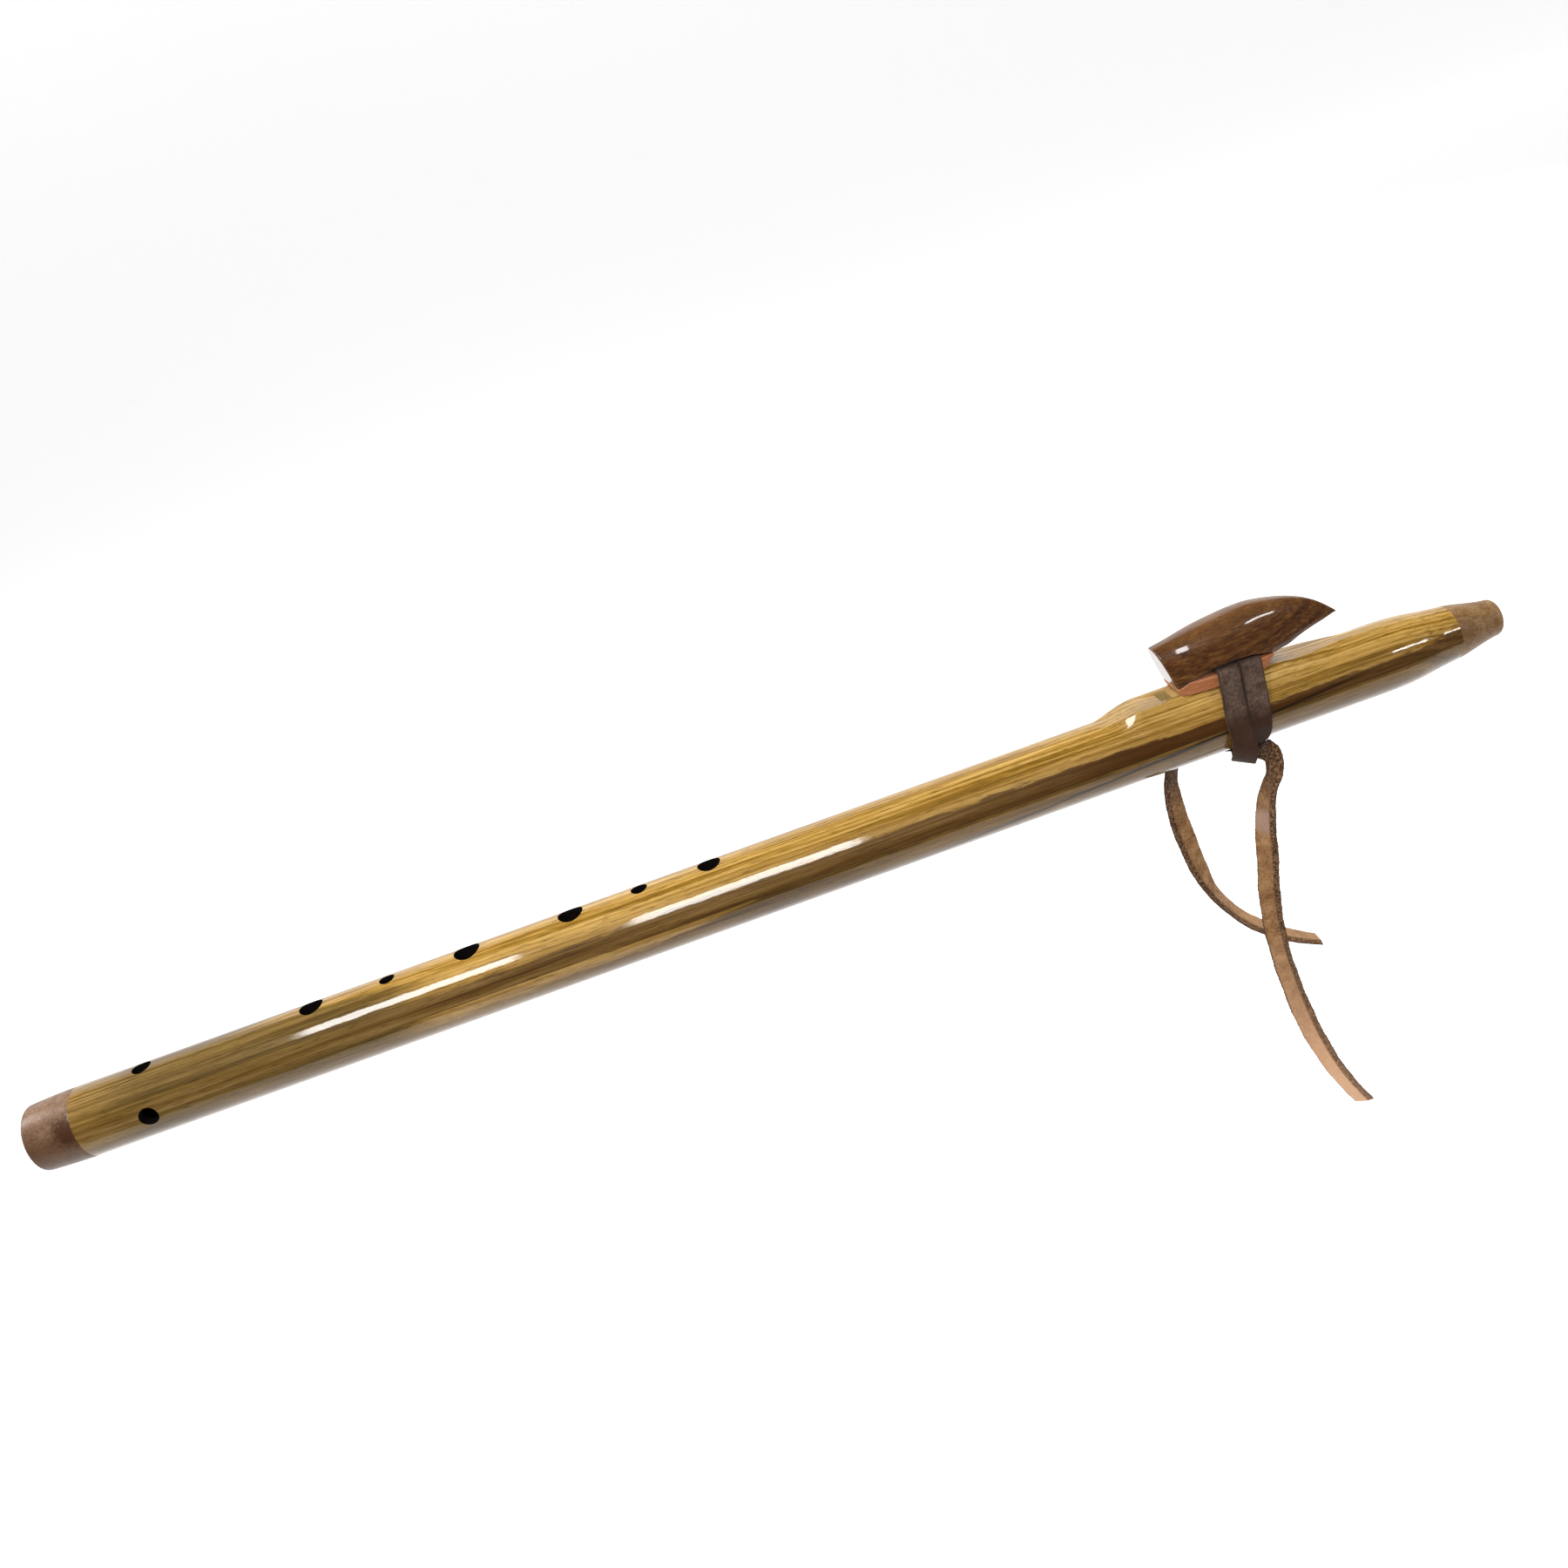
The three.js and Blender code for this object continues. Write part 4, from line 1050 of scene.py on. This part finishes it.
def turned_walnut(name, stops, low, patch, gloss):
    """Black walnut, turned on a lathe and oiled: a soft brown with clouds and fine dark specks, painted
    darker towards its lower side as shade, and with a dark patch at the near side of the joint."""
    material, tree, shader = surface(
        name, roughness=0.5, ior=1.5, specular_ior_level=0.15,
        coat_weight=gloss, coat_roughness=0.25, coat_ior=1.5,
    )
    mm = wood_places(tree)
    cloud = streaks(tree, mm, (7.0, 6.0, 6.0), 3.0, 0.6)
    speck = streaks(tree, mm, (1.5, 1.0, 1.0), 3.0, 0.65)
    colour = add(tree, "ValToRGB", (toned(tree, cloud, speck, 0.5),), stops)
    height = add(tree, "SeparateXYZ", (mm,)).outputs["Z"]
    # painted shade: the colour darkens from 14 mm above the axis down to 3 mm
    lower = add(tree, "MapRange", (height, 14.0, 3.0, 0.0, low[0]))
    at, share, shade = patch
    away = add(tree, "VectorMath", (mm, at), operation="DISTANCE").outputs["Value"]
    away = add(tree, "Math", (speck, 9.0, away), operation="MULTIPLY_ADD")
    near = add(tree, "MapRange", (away, 8.5, 13.0, share, 0.0))
    for part, over in ((lower, low[1]), (near, shade)):
        colour = add(tree, "Mix", {0: part, 6: colour, 7: over})
    colour, depth = flecked(tree, colour, mm, (2.0, 0.6, 0.6), 0.6, "#33211a", 0.35)
    lacquered(tree, shader, mm, colour, depth, 0.06)
    return material


def polished_walnut():
    """Black walnut, carved, sanded fine and thickly lacquered: deep red-brown under a wet gloss, with a
    painted sheen that makes the colour lighter over the crown."""
    material, tree, shader = surface(
        "polished_walnut", roughness=0.4, ior=1.5, specular_ior_level=0.15,
        coat_weight=1.0, coat_roughness=0.08, coat_ior=1.5,
    )
    mm = wood_places(tree, (0, 40, -60), (0, math.radians(3), 0))
    line = layers(tree, mm, 4.0, 40.0, (60.0, 2.4))
    fibre = streaks(tree, mm, (7.0, 0.8, 0.8), 3.0, 0.65)
    stops = [(0.38, "#3a1e0b"), (0.46, "#4f2d13"), (0.54, "#643f1d"), (0.64, "#7c532a")]
    colour = add(tree, "ValToRGB", (toned(tree, line, fibre, 0.5),), stops)
    height = add(tree, "SeparateXYZ", (wood_places(tree),)).outputs["Z"]
    # painted sheen: the colour lightens over the crown, by height
    crown = add(tree, "MapRange", (height, *CROWN_SHEEN_HEIGHTS, 0.0, 0.32))
    colour = add(tree, "Mix", {0: crown, 6: colour, 7: "#93683c"})
    colour, depth = flecked(tree, colour, mm, (3.0, 0.55, 0.55), 0.57, "#20110a", 0.6)
    lacquered(tree, shader, mm, colour, depth, 0.06)
    return material


def sanded_cherry():
    """Cherry, sawn and sanded, with one thin coat: a plain salmon pink, nearly without figure."""
    material, tree, shader = surface(
        "sanded_cherry", roughness=0.5, ior=1.5, specular_ior_level=0.35,
        coat_weight=0.4, coat_roughness=0.25, coat_ior=1.5,
    )
    mm = wood_places(tree, (0, 50, -40))
    line = layers(tree, mm, 2.0, 60.0, (60.0, 2.0))
    fibre = streaks(tree, mm, (9.0, 0.8, 0.8), 3.0, 0.6)
    stops = [(0.36, "#9a5b34"), (0.48, "#ac6b42"), (0.56, "#b8784d"), (0.66, "#c4865a")]
    colour = add(tree, "ValToRGB", (toned(tree, line, fibre, 0.4),), stops)
    colour, depth = flecked(tree, colour, mm, (4.0, 0.5, 0.5), 0.62, "#7d4229", 0.3)
    lacquered(tree, shader, mm, colour, depth, 0.1)
    return material


def painted_dark_bore():
    """The holes' walls and the bore, nearly black with faint streaks: painted shade for the dark inside of
    the tube.
    """
    material, tree, shader = surface("painted_dark_bore", roughness=0.8, specular_ior_level=0.1)
    soot = streaks(tree, wood_places(tree), (12.0, 1.2, 1.2), 3.0)
    # painted shade: nearly black
    colour = add(tree, "ValToRGB", (soot,), [(0.35, "#050404"), (0.6, "#0d0907")])
    worked(tree, shader, colour, soot, 0.3, 0.2)
    return material


def cut_limba():
    """Limba cut across with a chisel and left bare: flat and pale on the flue's floor, and greyer below it in
    the holes, a painted shade.
    """
    material, tree, shader = surface("cut_limba", roughness=0.6, specular_ior_level=0.3)
    mm = wood_places(tree)
    line = layers(tree, mm, 2.0, 90.0, (60.0, 1.2))
    pale = add(tree, "ValToRGB", (line,), [(0.36, "#b3914f"), (0.5, "#cfae70"), (0.64, "#e0c58d")])
    grey = add(tree, "ValToRGB", (line,), [(0.36, "#8f7745"), (0.5, "#b0965e"), (0.64, "#c6ad78")])
    height = add(tree, "SeparateXYZ", (mm,)).outputs["Z"]
    # painted shade: greyer below the flue's floor, down in the holes
    level = add(tree, "MapRange", (height, *HOLE_SHADE_HEIGHTS))
    colour = add(tree, "Mix", {0: level, 6: grey, 7: pale})
    colour, depth = flecked(tree, colour, mm, (3.0, 0.5, 0.5), 0.6, "#40301a", 0.5)
    worked(tree, shader, colour, depth, 0.3, RELIEF, invert=True)
    return material


def leather(name, stops, rim, roughness, sheen, nap_size, relief, height_tone_and_shade, flesh=False):
    """Colour from soft blotches and fibres, darker towards the lace's edges; on the grain side the rim is
    nearly black, a painted shade for the gaps between the turns. The colour changes to another between two
    heights: painted shade low on the winding's grain side, and paler low on the tails. The flesh side is dark
    along the slanted cut and, as painted shade under the tube, near the knot, and has one pale place."""
    material, tree, shader = surface(
        name, roughness=roughness, ior=1.45, specular_ior_level=0.25,
        sheen_weight=sheen, sheen_roughness=0.5,
    )
    mm = wood_places(tree)
    blotch = streaks(tree, mm, (7.0, 7.0, 7.0), 4.0, 0.6)
    nap = streaks(tree, mm, (nap_size,) * 3, 4.0, 0.7)
    colour = add(tree, "ValToRGB", (toned(tree, blotch, nap, 0.5),), stops)
    # painted shade on the grain side, darker low on the winding; a paler tone low on the tails
    heights, share, other = height_tone_and_shade
    height = add(tree, "SeparateXYZ", (mm,)).outputs["Z"]
    shift = add(tree, "MapRange", (height, *heights, 0.0, share))
    across = add(tree, "Attribute", attribute_name="across").outputs["Fac"]
    coats = [(shift, other)]
    if flesh:
        # a pale place on the near tail
        bright = add(tree, "VectorMath", (mm, PALE_PLACE), operation="DISTANCE").outputs["Value"]
        bright = add(tree, "MapRange", (bright, *PALE_REACH, 0.7, 0.0))
        speck = streaks(tree, mm, (1.1, 1.1, 1.1), 3.0, 0.7)
        rough = add(tree, "ValToRGB", (speck,), [(0.4, "#2b190f"), (0.5, "#543823"), (0.62, "#93704f")])
        run = add(tree, "Attribute", attribute_name="run").outputs["Fac"]
        strip = add(tree, "Math", (speck, 0.5, across), operation="MULTIPLY_ADD")
        fade = add(tree, "MapRange", (run, *SLANT_RUN, 0.95, 0.8))
        strip = add(tree, "MapRange", (strip, 0.62, 0.72, 0.0, fade))
        # painted shade: near the knot, under the tube, the flesh side takes the dark speckled colour
        knot_shade = add(tree, "MapRange", (run, *KNOT_SHADE_RUN, 0.9, 0.0))
        strip = add(tree, "Math", (strip, knot_shade), operation="MAXIMUM")
        coats += [(bright, "#b39483"), (strip, rough)]
    # painted shade: darker at the edges; on the grain side nearly black, for the shade in the gaps between
    # the turns
    side = add(tree, "Math", (across,), operation="ABSOLUTE")
    side = add(tree, "Math", (nap, 0.3, side), operation="MULTIPLY_ADD")
    edge = add(tree, "MapRange", (side, 1.0, 1.12, 0.0, 0.85))
    for part, over in (*coats, (edge, rim)):
        colour = add(tree, "Mix", {0: part, 6: colour, 7: over})
    worked(tree, shader, colour, nap, 0.6, relief)
    return material


def leathers():
    """Cowhide lace, bark tanned and dyed right through: a close dark grain side, a pale fuzzy flesh
    side, and dark raw fibre where it was cut."""
    names = ("hide_grain_side", "hide_flesh_side", "hide_cut_edge")
    found = [bpy.data.materials.get(name) for name in names]
    if all(found):
        return found
    grain_side = [(0.38, "#3a2a20"), (0.47, "#4f3c31"), (0.54, "#5e4b3f"), (0.64, "#725f52")]
    flesh_side = [(0.38, "#6f4a2a"), (0.5, "#976f48"), (0.62, "#b48b61")]
    cut_edge = [(0.38, "#2e1c12"), (0.5, "#553b26"), (0.62, "#7c5d42")]
    # painted shade: the grain side darkens from 9 mm above the axis down to it, low on the winding
    low_winding_shade = ((9.0, 0.0), 0.92, "#341a08")
    # paler towards the tails' lower ends
    tail_end_tone = ((-110.0, -215.0), 0.75, "#e3b48e")
    return [
        # the grain side's near-black rim is painted shade for the gaps between the turns
        leather(names[0], grain_side, "#1c120b", 0.65, 0.05, 1.3, 0.12, low_winding_shade),
        leather(names[1], flesh_side, "#6a4a30", 0.95, 0.1, 0.9, 0.3, tail_end_tone, flesh=True),
        leather(names[2], cut_edge, "#3d2a1f", 0.95, 0.1, 0.8, 0.35, tail_end_tone),
    ]


class FluteTubeSizes(bpy.types.PropertyGroup):
    """Sizes of the tube"""

    radius: FloatProperty(
        name="Radius", description="Outside radius of the tube",
        default=(LOWER_BOX[1][1] - LOWER_BOX[0][1]) / 2, unit="LENGTH", precision=4,
    )
    joint_radius: FloatProperty(
        name="Head end radius", description="Radius where the mouthpiece is glued on",
        default=(MOUTH_BOX[1][1] - MOUTH_BOX[0][1]) / 2, unit="LENGTH", precision=4,
    )
    bore_radius: FloatProperty(
        name="Bore radius", description="Radius of the sound chamber",
        default=0.0111, unit="LENGTH", precision=4,
    )
    flue_width: FloatProperty(
        name="Flue width", description="Width of the flue and the sound hole",
        default=0.011, unit="LENGTH", precision=4,
    )


class FluteBlockSizes(bpy.types.PropertyGroup):
    """Sizes of the carved block"""

    length: FloatProperty(
        name="Length", description="From the foot of the front to the tip",
        default=0.0769, unit="LENGTH", precision=4,
    )
    half_width: FloatProperty(
        name="Half width", description="Half of the greatest width",
        default=0.0116, unit="LENGTH", precision=4,
    )
    height: FloatProperty(
        name="Height", description="Greatest height above the nest",
        default=0.0286, unit="LENGTH", precision=4,
    )
    lean: FloatProperty(
        name="Front lean", description="How far the front leans over the sound hole",
        default=math.radians(16.5), unit="ROTATION",
    )


class FluteLaceSizes(bpy.types.PropertyGroup):
    """Sizes of the lace"""

    width: FloatProperty(
        name="Width", description="Width of the lace", default=0.0096, unit="LENGTH", precision=4,
    )
    thickness: FloatProperty(
        name="Thickness", description="Thickness of the lace", default=0.0013, unit="LENGTH", precision=4,
    )


class FluteStageSettings(bpy.types.PropertyGroup):
    """Floor and lights"""

    floor_height: FloatProperty(
        name="Floor", description="Height of the floor", default=-0.225, unit="LENGTH", precision=3,
    )
    floor_colour: FloatVectorProperty(
        name="Floor colour", description="Colour of the floor and backdrop",
        default=(0.7, 0.7, 0.7), size=3, subtype="COLOR",
    )
    lamp_power: FloatProperty(
        name="Lamp brightness", description="Watts from each square metre of a lamp", default=46.0,
    )
    room_strength: FloatProperty(name="Room light", description="Light from all round", default=0.06)


class FLUTE_OT_camera(bpy.types.Operator):
    """Sets up the camera at the near side, above and a little rolled"""

    bl_idname = "flute.camera"
    bl_label = "Camera"

    def execute(self, context):
        data = bpy.data.cameras.new("camera")
        data.sensor_width = CAMERA_SENSOR
        data.lens = CAMERA_LENS
        data.clip_start = 0.01
        data.clip_end = 30.0
        camera = put("camera", data)
        yaw, pitch, roll = np.radians(CAMERA_TURNS)
        flat = math.cos(pitch)
        ahead = np.array([math.sin(yaw) * flat, math.cos(yaw) * flat, math.sin(pitch)])
        level = unit(np.cross(ahead, [0, 0, 1.0]))
        over = np.cross(level, ahead)
        right = level * math.cos(roll) + over * math.sin(roll)
        up = over * math.cos(roll) - level * math.sin(roll)
        camera.matrix_world = facing_matrix(right, up, -ahead, CAMERA_PLACE)
        context.scene.camera = camera
        return {"FINISHED"}


def facing_matrix(right, up, back, at):
    """Placement of a camera or a lamp, from its three directions and its place."""
    columns = np.column_stack([right, up, back, at])
    return Matrix(np.vstack([columns, [0, 0, 0, 1]]).tolist())


class FLUTE_OT_tails(bpy.types.Operator):
    """Hangs the two free tails of the lace"""

    bl_idname = "flute.tails"
    bl_label = "Lace tails"

    def execute(self, context):
        grain_side, flesh_side, cut_edge = leathers()
        for name, route, start, twist, slant, node in (
            ("tail_near", NEAR_ROUTE, NEAR_EXIT, NEAR_TWIST, 1, "lace_tail_near"),
            ("tail_far", FAR_ROUTE, FAR_EXIT, FAR_TWIST, -1, "lace_tail_far"),
        ):
            path, facing = hanging(route, start, twist)
            tail = band(name, path, facing, len(route), waver=TAIL_WAVER, slant=slant)
            finish(tail, "flute", node, "lace_flesh_side", flesh_side, grain_side, cut_edge)
        return {"FINISHED"}


class FLUTE_OT_tube(bpy.types.Operator):
    """Builds the two glued halves of the tube, with nest, voicing, holes and chambers"""

    bl_idname = "flute.tube"
    bl_label = "Tube halves"

    def execute(self, context):
        whole = solid("whole_tube", tube_rings())
        tools = cutters()
        bored = put("bored_tube", cut(whole, tools, "DIFFERENCE"))
        upper = limba(
            "lacquered_limba_upper", (0, 0, 0),
            gold=[(0.38, "#6c4d0c"), (0.45, "#976f22"), (0.5, "#b48b40"), (0.57, "#cba258"),
                  (0.66, "#dcb771")],
            brown=[(0.38, "#4a3010"), (0.46, "#66491f"), (0.54, "#7b5d30"), (0.64, "#937347")],
            heart=[(0.0, 0.75), (0.26, 0.87), (0.51, 0.88), (0.67, 0.87), (0.73, 0.85), (0.766, 0.79),
                   (0.803, 0.75), (0.838, 0.72), (0.869, 0.76), (0.967, 0.75)],
            strength=[(0.0, 0.5), (0.2, 0.6), (0.26, 0.9), (0.32, 1.0), (1.0, 1.0)],
            deep=[(0.45, 0.0), (0.6, 0.3), (0.67, 0.5), (0.74, 0.9), (0.83, 0.85), (0.9, 0.5), (1.0, 0.35)],
            seam=0.8,
        )
        lower = limba(
            "lacquered_limba_lower", (60, 9, 31),
            gold=[(0.38, "#85642a"), (0.46, "#a67f40"), (0.54, "#c29c5a"), (0.64, "#d3af70")],
            brown=[(0.38, "#4f3812"), (0.46, "#6b4e1f"), (0.54, "#80612e"), (0.64, "#957443")],
            heart=[(0.0, 0.2), (0.28, 0.2), (0.42, 0.26), (0.47, 0.42), (0.52, 0.65)],
            strength=[(0.0, 0.6), (0.3, 0.85), (0.5, 1.0)],
            deep=[(0.0, 0.0), (1.0, 0.1)],
            seam=0.6,
        )
        bore_shade, chiselled = painted_dark_bore(), cut_limba()
        reach = nest_top() + OVERRUN
        for name, node, low, high, wood in (
            ("upper_half", "body_upper_half", 0, reach, upper),
            ("lower_half", "body_lower_half", -reach, 0, lower),
        ):
            keep = slot("keep", RING_X - OVERRUN, JOINT_X + OVERRUN, low, high, reach)
            half = dress_half(name, cut(bored, [keep], "INTERSECT"))
            finish(half, "flute", node, "body_wood", wood, bore_shade, chiselled)
            discard(keep)
        discard(whole, bored, *tools)
        return {"FINISHED"}


class FLUTE_OT_ends(bpy.types.Operator):
    """Turns the foot ring and the mouthpiece"""

    bl_idname = "flute.ends"
    bl_label = "Foot ring and mouthpiece"

    def execute(self, context):
        pink = [(0.36, "#6a4c36"), (0.48, "#80614a"), (0.64, "#987a60")]
        patch = ((-328.5, -14.4, 5.5), 0.85, "#41220f")
        # the pair after the stops is the painted shade on the ring's lower side: its share and colour
        walnut = turned_walnut("turned_walnut_foot", pink, (0.75, "#5c3f28"), patch, 0.4)
        foot = soften(settle(solid("foot_ring_wood", revolved(self.foot()), onward=True)), 40)
        finish(foot, "flute", "foot_ring", "foot_walnut", walnut)
        grey = [(0.36, "#735231"), (0.48, "#8d6a45"), (0.64, "#a4845f")]
        patch = ((314.0, -11.0, 4.0), 0.35, "#4a2e18")
        # the pair after the stops is the painted shade on the mouthpiece's lower side: its share and colour
        walnut = turned_walnut("turned_walnut_mouth", grey, (0.2, "#6a4f30"), patch, 0.35)
        mouth = soften(settle(solid("mouthpiece_wood", revolved(self.mouth()), onward=True)), 40)
        finish(mouth, "flute", "mouthpiece", "mouth_walnut", walnut)
        return {"FINISHED"}

    def foot(self):
        """Profile of the ring, from the joint round the open end and back: straight in the bore,
        rounded at both rims, and swelling a little along its outside."""
        bore = tube().bore_radius / MM
        lip = quarter(FOOT_X + FOOT_LIP, bore + FOOT_LIP, FOOT_LIP, 180)[::-1]
        rim = quarter(FOOT_X + FOOT_RIM, FOOT_SIDE[0][1] - FOOT_RIM, FOOT_RIM, 90)[::-1]
        x = np.linspace(FOOT_X + FOOT_RIM, RING_X - JOINT_RUN, 16)[1:]
        side = np.stack([x, shares_at(FOOT_SIDE, (x - FOOT_X) / (RING_X - FOOT_X))], 1)
        return np.vstack([[[RING_X, bore]], lip, rim, side, [[RING_X, FOOT_SIDE[-1][1] - JOINT_CHAMFER]]])

    def mouth(self):
        """Profile of the mouthpiece: a side that draws in, a wide rounding and a small lip."""
        joint = tube().joint_radius / MM
        table = through(MOUTH_SHARES, 30)
        x = JOINT_X + (MOUTH_END_X - JOINT_X) * table[:, 0]
        side = np.stack([x, joint + (MOUTH_RADIUS - joint) * table[:, 1]], 1)
        start = [[JOINT_X, BREATH_RADIUS], [JOINT_X, joint - JOINT_CHAMFER], [JOINT_X + JOINT_RUN, joint]]
        rim = quarter(MOUTH_END_X - MOUTH_RIM, MOUTH_RADIUS - MOUTH_RIM, MOUTH_RIM, 0)[::-1]
        lip = quarter(MOUTH_END_X - MOUTH_LIP, BREATH_RADIUS + MOUTH_LIP, MOUTH_LIP, -90)[::-1]
        return np.vstack([start, side[1:], rim, lip])


class FLUTE_OT_block(bpy.types.Operator):
    """Carves the block and the base slab under it"""

    bl_idname = "flute.block"
    bl_label = "Block and base"

    def execute(self, context):
        block = soften(settle(solid("carved_block", block_rings())), 32)
        finish(block, "block", "block", "block_walnut", polished_walnut())
        base = soften(settle(solid("base_slab", slab_rings())), 32)
        finish(base, "block", "block_base", "base_wood", sanded_cherry())
        return {"FINISHED"}


class FLUTE_OT_lace(bpy.types.Operator):
    """Winds the lace twice round the tube and ties it underneath"""

    bl_idname = "flute.lace"
    bl_label = "Lace winding and knot"

    def execute(self, context):
        grain_side, flesh_side, cut_edge = leathers()
        path, facing = lace_stops()
        width = LOW_SHARE + (HIGH_SHARE - LOW_SHARE) * smoothstep((path[:, 2] - 8) / 6)
        winding = band("winding", path, facing, 3, width)
        finish(winding, "flute", "lace_winding", "lace_grain_side", grain_side, flesh_side, cut_edge)
        strands = [self.strand(k, stops) for k, stops in enumerate((LOWER_STRAND, UPPER_STRAND))]
        knot = join("knot", strands)
        finish(knot, "flute", "lace_knot", "lace_flesh_side", grain_side, flesh_side, cut_edge)
        return {"FINISHED"}

    def strand(self, number, stops):
        """A strand of the knot, which folds back under the turns and narrows where it is pulled."""
        stops = np.array(stops, float)
        line = evenly(centripetal(stops, 16, stops[:, :3]), STRAND_STEP)
        for column in (1, 4):
            line[:, column], line[:, column + 1] = leaned(line[:, column], line[:, column + 1])
        share = 1 - 0.28 * np.sin(np.linspace(0, math.pi, len(line))) ** 2
        return band(f"strand_{number}", line[:, :3], line[:, 3:], 5 + number, share)


def join(name, items):
    """Several pieces as one, keeping their attributes and the numbers of their materials."""
    with bpy.context.temp_override(active_object=items[0], selected_editable_objects=items):
        bpy.ops.object.join()
    items[0].name = items[0].data.name = name
    return items[0]


class FLUTE_OT_stage(bpy.types.Operator):
    """Lays the pale floor and sets the soft lights"""

    bl_idname = "flute.stage"
    bl_label = "Floor and lights"

    def execute(self, context):
        settings = context.scene.flute_stage
        self.floor(settings)
        for name, (at, target, size, share, mirrored) in LAMPS.items():
            lamp = self.lamp(name, at, target, size, share * settings.lamp_power * size[0] * size[1])
            lamp.visible_glossy = mirrored
        world = bpy.data.worlds.new("room")
        world.use_nodes = True
        background = world.node_tree.nodes["Background"]
        background.inputs[0].default_value = (1, 1, 1, 1)
        background.inputs[1].default_value = settings.room_strength
        context.scene.world = world
        context.scene.view_settings.view_transform = "Standard"
        return {"FINISHED"}

    def floor(self, settings):
        """A level floor that bends up into a wall behind, on a quarter circle."""
        turn = np.linspace(0, math.pi / 2, 16)[1:]
        bend_y = PAPER_BEND_Y + PAPER_BEND * np.sin(turn)
        depth = np.concatenate([[PAPER_NEAR_EDGE, 0, PAPER_BEND_Y], bend_y, bend_y[-1:]])
        rise = np.concatenate([[0, 0, 0], PAPER_BEND * (1 - np.cos(turn)), [PAPER_RISE]])
        x, y = np.meshgrid([-PAPER_HALF_WIDTH, PAPER_HALF_WIDTH], depth)
        z = np.repeat(rise[:, None] + settings.floor_height, 2, 1)
        points = np.stack([x, y, z], -1).reshape(-1, 3)
        i = np.arange(len(depth) - 1) * 2
        faces = np.stack([i, i + 1, i + 3, i + 2], 1)
        mesh = bpy.data.meshes.new("floor")
        mesh.from_pydata(points.tolist(), [], faces.tolist())
        mesh.shade_smooth()
        floor = put("floor", mesh)
        mesh.materials.append(self.paper(settings))

    def paper(self, settings):
        """Studio paper, matt and pale, with painted light: it glows by its own emission, growing from the
        flute backwards.
        """
        material, tree, shader = surface("studio_paper", roughness=0.9, specular_ior_level=0.2)
        shader.inputs["Base Color"].default_value = (*settings.floor_colour, 1)
        shader.inputs["Emission Color"].default_value = (1, 1, 1, 1)
        point = add(tree, "TexCoord").outputs["Object"]
        back = add(tree, "SeparateXYZ", (point,)).outputs["Y"]
        glow = add(tree, "MapRange", (back, *PAPER_GLOW), interpolation_type="SMOOTHSTEP")
        tree.links.new(glow.outputs[0], shader.inputs["Emission Strength"])
        return material

    def lamp(self, name, at, target, size, power):
        """A softbox at a place, turned to face another, with its first side level."""
        data = bpy.data.lights.new(name, "AREA")
        data.shape = "RECTANGLE"
        data.size, data.size_y = size
        data.energy = power
        lamp = put(name, data)
        back = unit(np.subtract(at, target))
        right = unit(np.array([1.0, 0, 0]) - back * back[0])
        lamp.matrix_world = facing_matrix(right, np.cross(back, right), back, at)
        return lamp


class FLUTE_PT_panel(bpy.types.Panel):
    """Lists the flute's operators and sizes"""

    bl_label = "Flute"
    bl_idname = "FLUTE_PT_panel"
    bl_space_type = "VIEW_3D"
    bl_region_type = "UI"
    bl_category = "Flute"

    def draw(self, context):
        for operator in OPERATORS:
            self.layout.operator(operator.bl_idname)
        for name, group in GROUPS.items():
            settings = getattr(context.scene, name)
            box = self.layout.box()
            for key in group.__annotations__:
                box.prop(settings, key)


OPERATORS = (
    FLUTE_OT_camera,
    FLUTE_OT_tails,
    FLUTE_OT_tube,
    FLUTE_OT_ends,
    FLUTE_OT_block,
    FLUTE_OT_lace,
    FLUTE_OT_stage,
)
GROUPS = {
    "flute_tube": FluteTubeSizes,
    "flute_block": FluteBlockSizes,
    "flute_lace": FluteLaceSizes,
    "flute_stage": FluteStageSettings,
}


def register():
    """Makes the settings, operators and panel known to Blender."""
    for name, group in GROUPS.items():
        bpy.utils.register_class(group)
        setattr(bpy.types.Scene, name, PointerProperty(type=group))
    for item in (*OPERATORS, FLUTE_PT_panel):
        bpy.utils.register_class(item)


def unregister():
    """Takes them away again."""
    for item in (FLUTE_PT_panel, *reversed(OPERATORS)):
        bpy.utils.unregister_class(item)
    for name, group in GROUPS.items():
        delattr(bpy.types.Scene, name)
        bpy.utils.unregister_class(group)


def main():
    """Registers everything and builds it in order."""
    register()
    for operator in OPERATORS:
        group, name = operator.bl_idname.split(".")
        getattr(getattr(bpy.ops, group), name)()


if __name__ == "__main__":
    main()
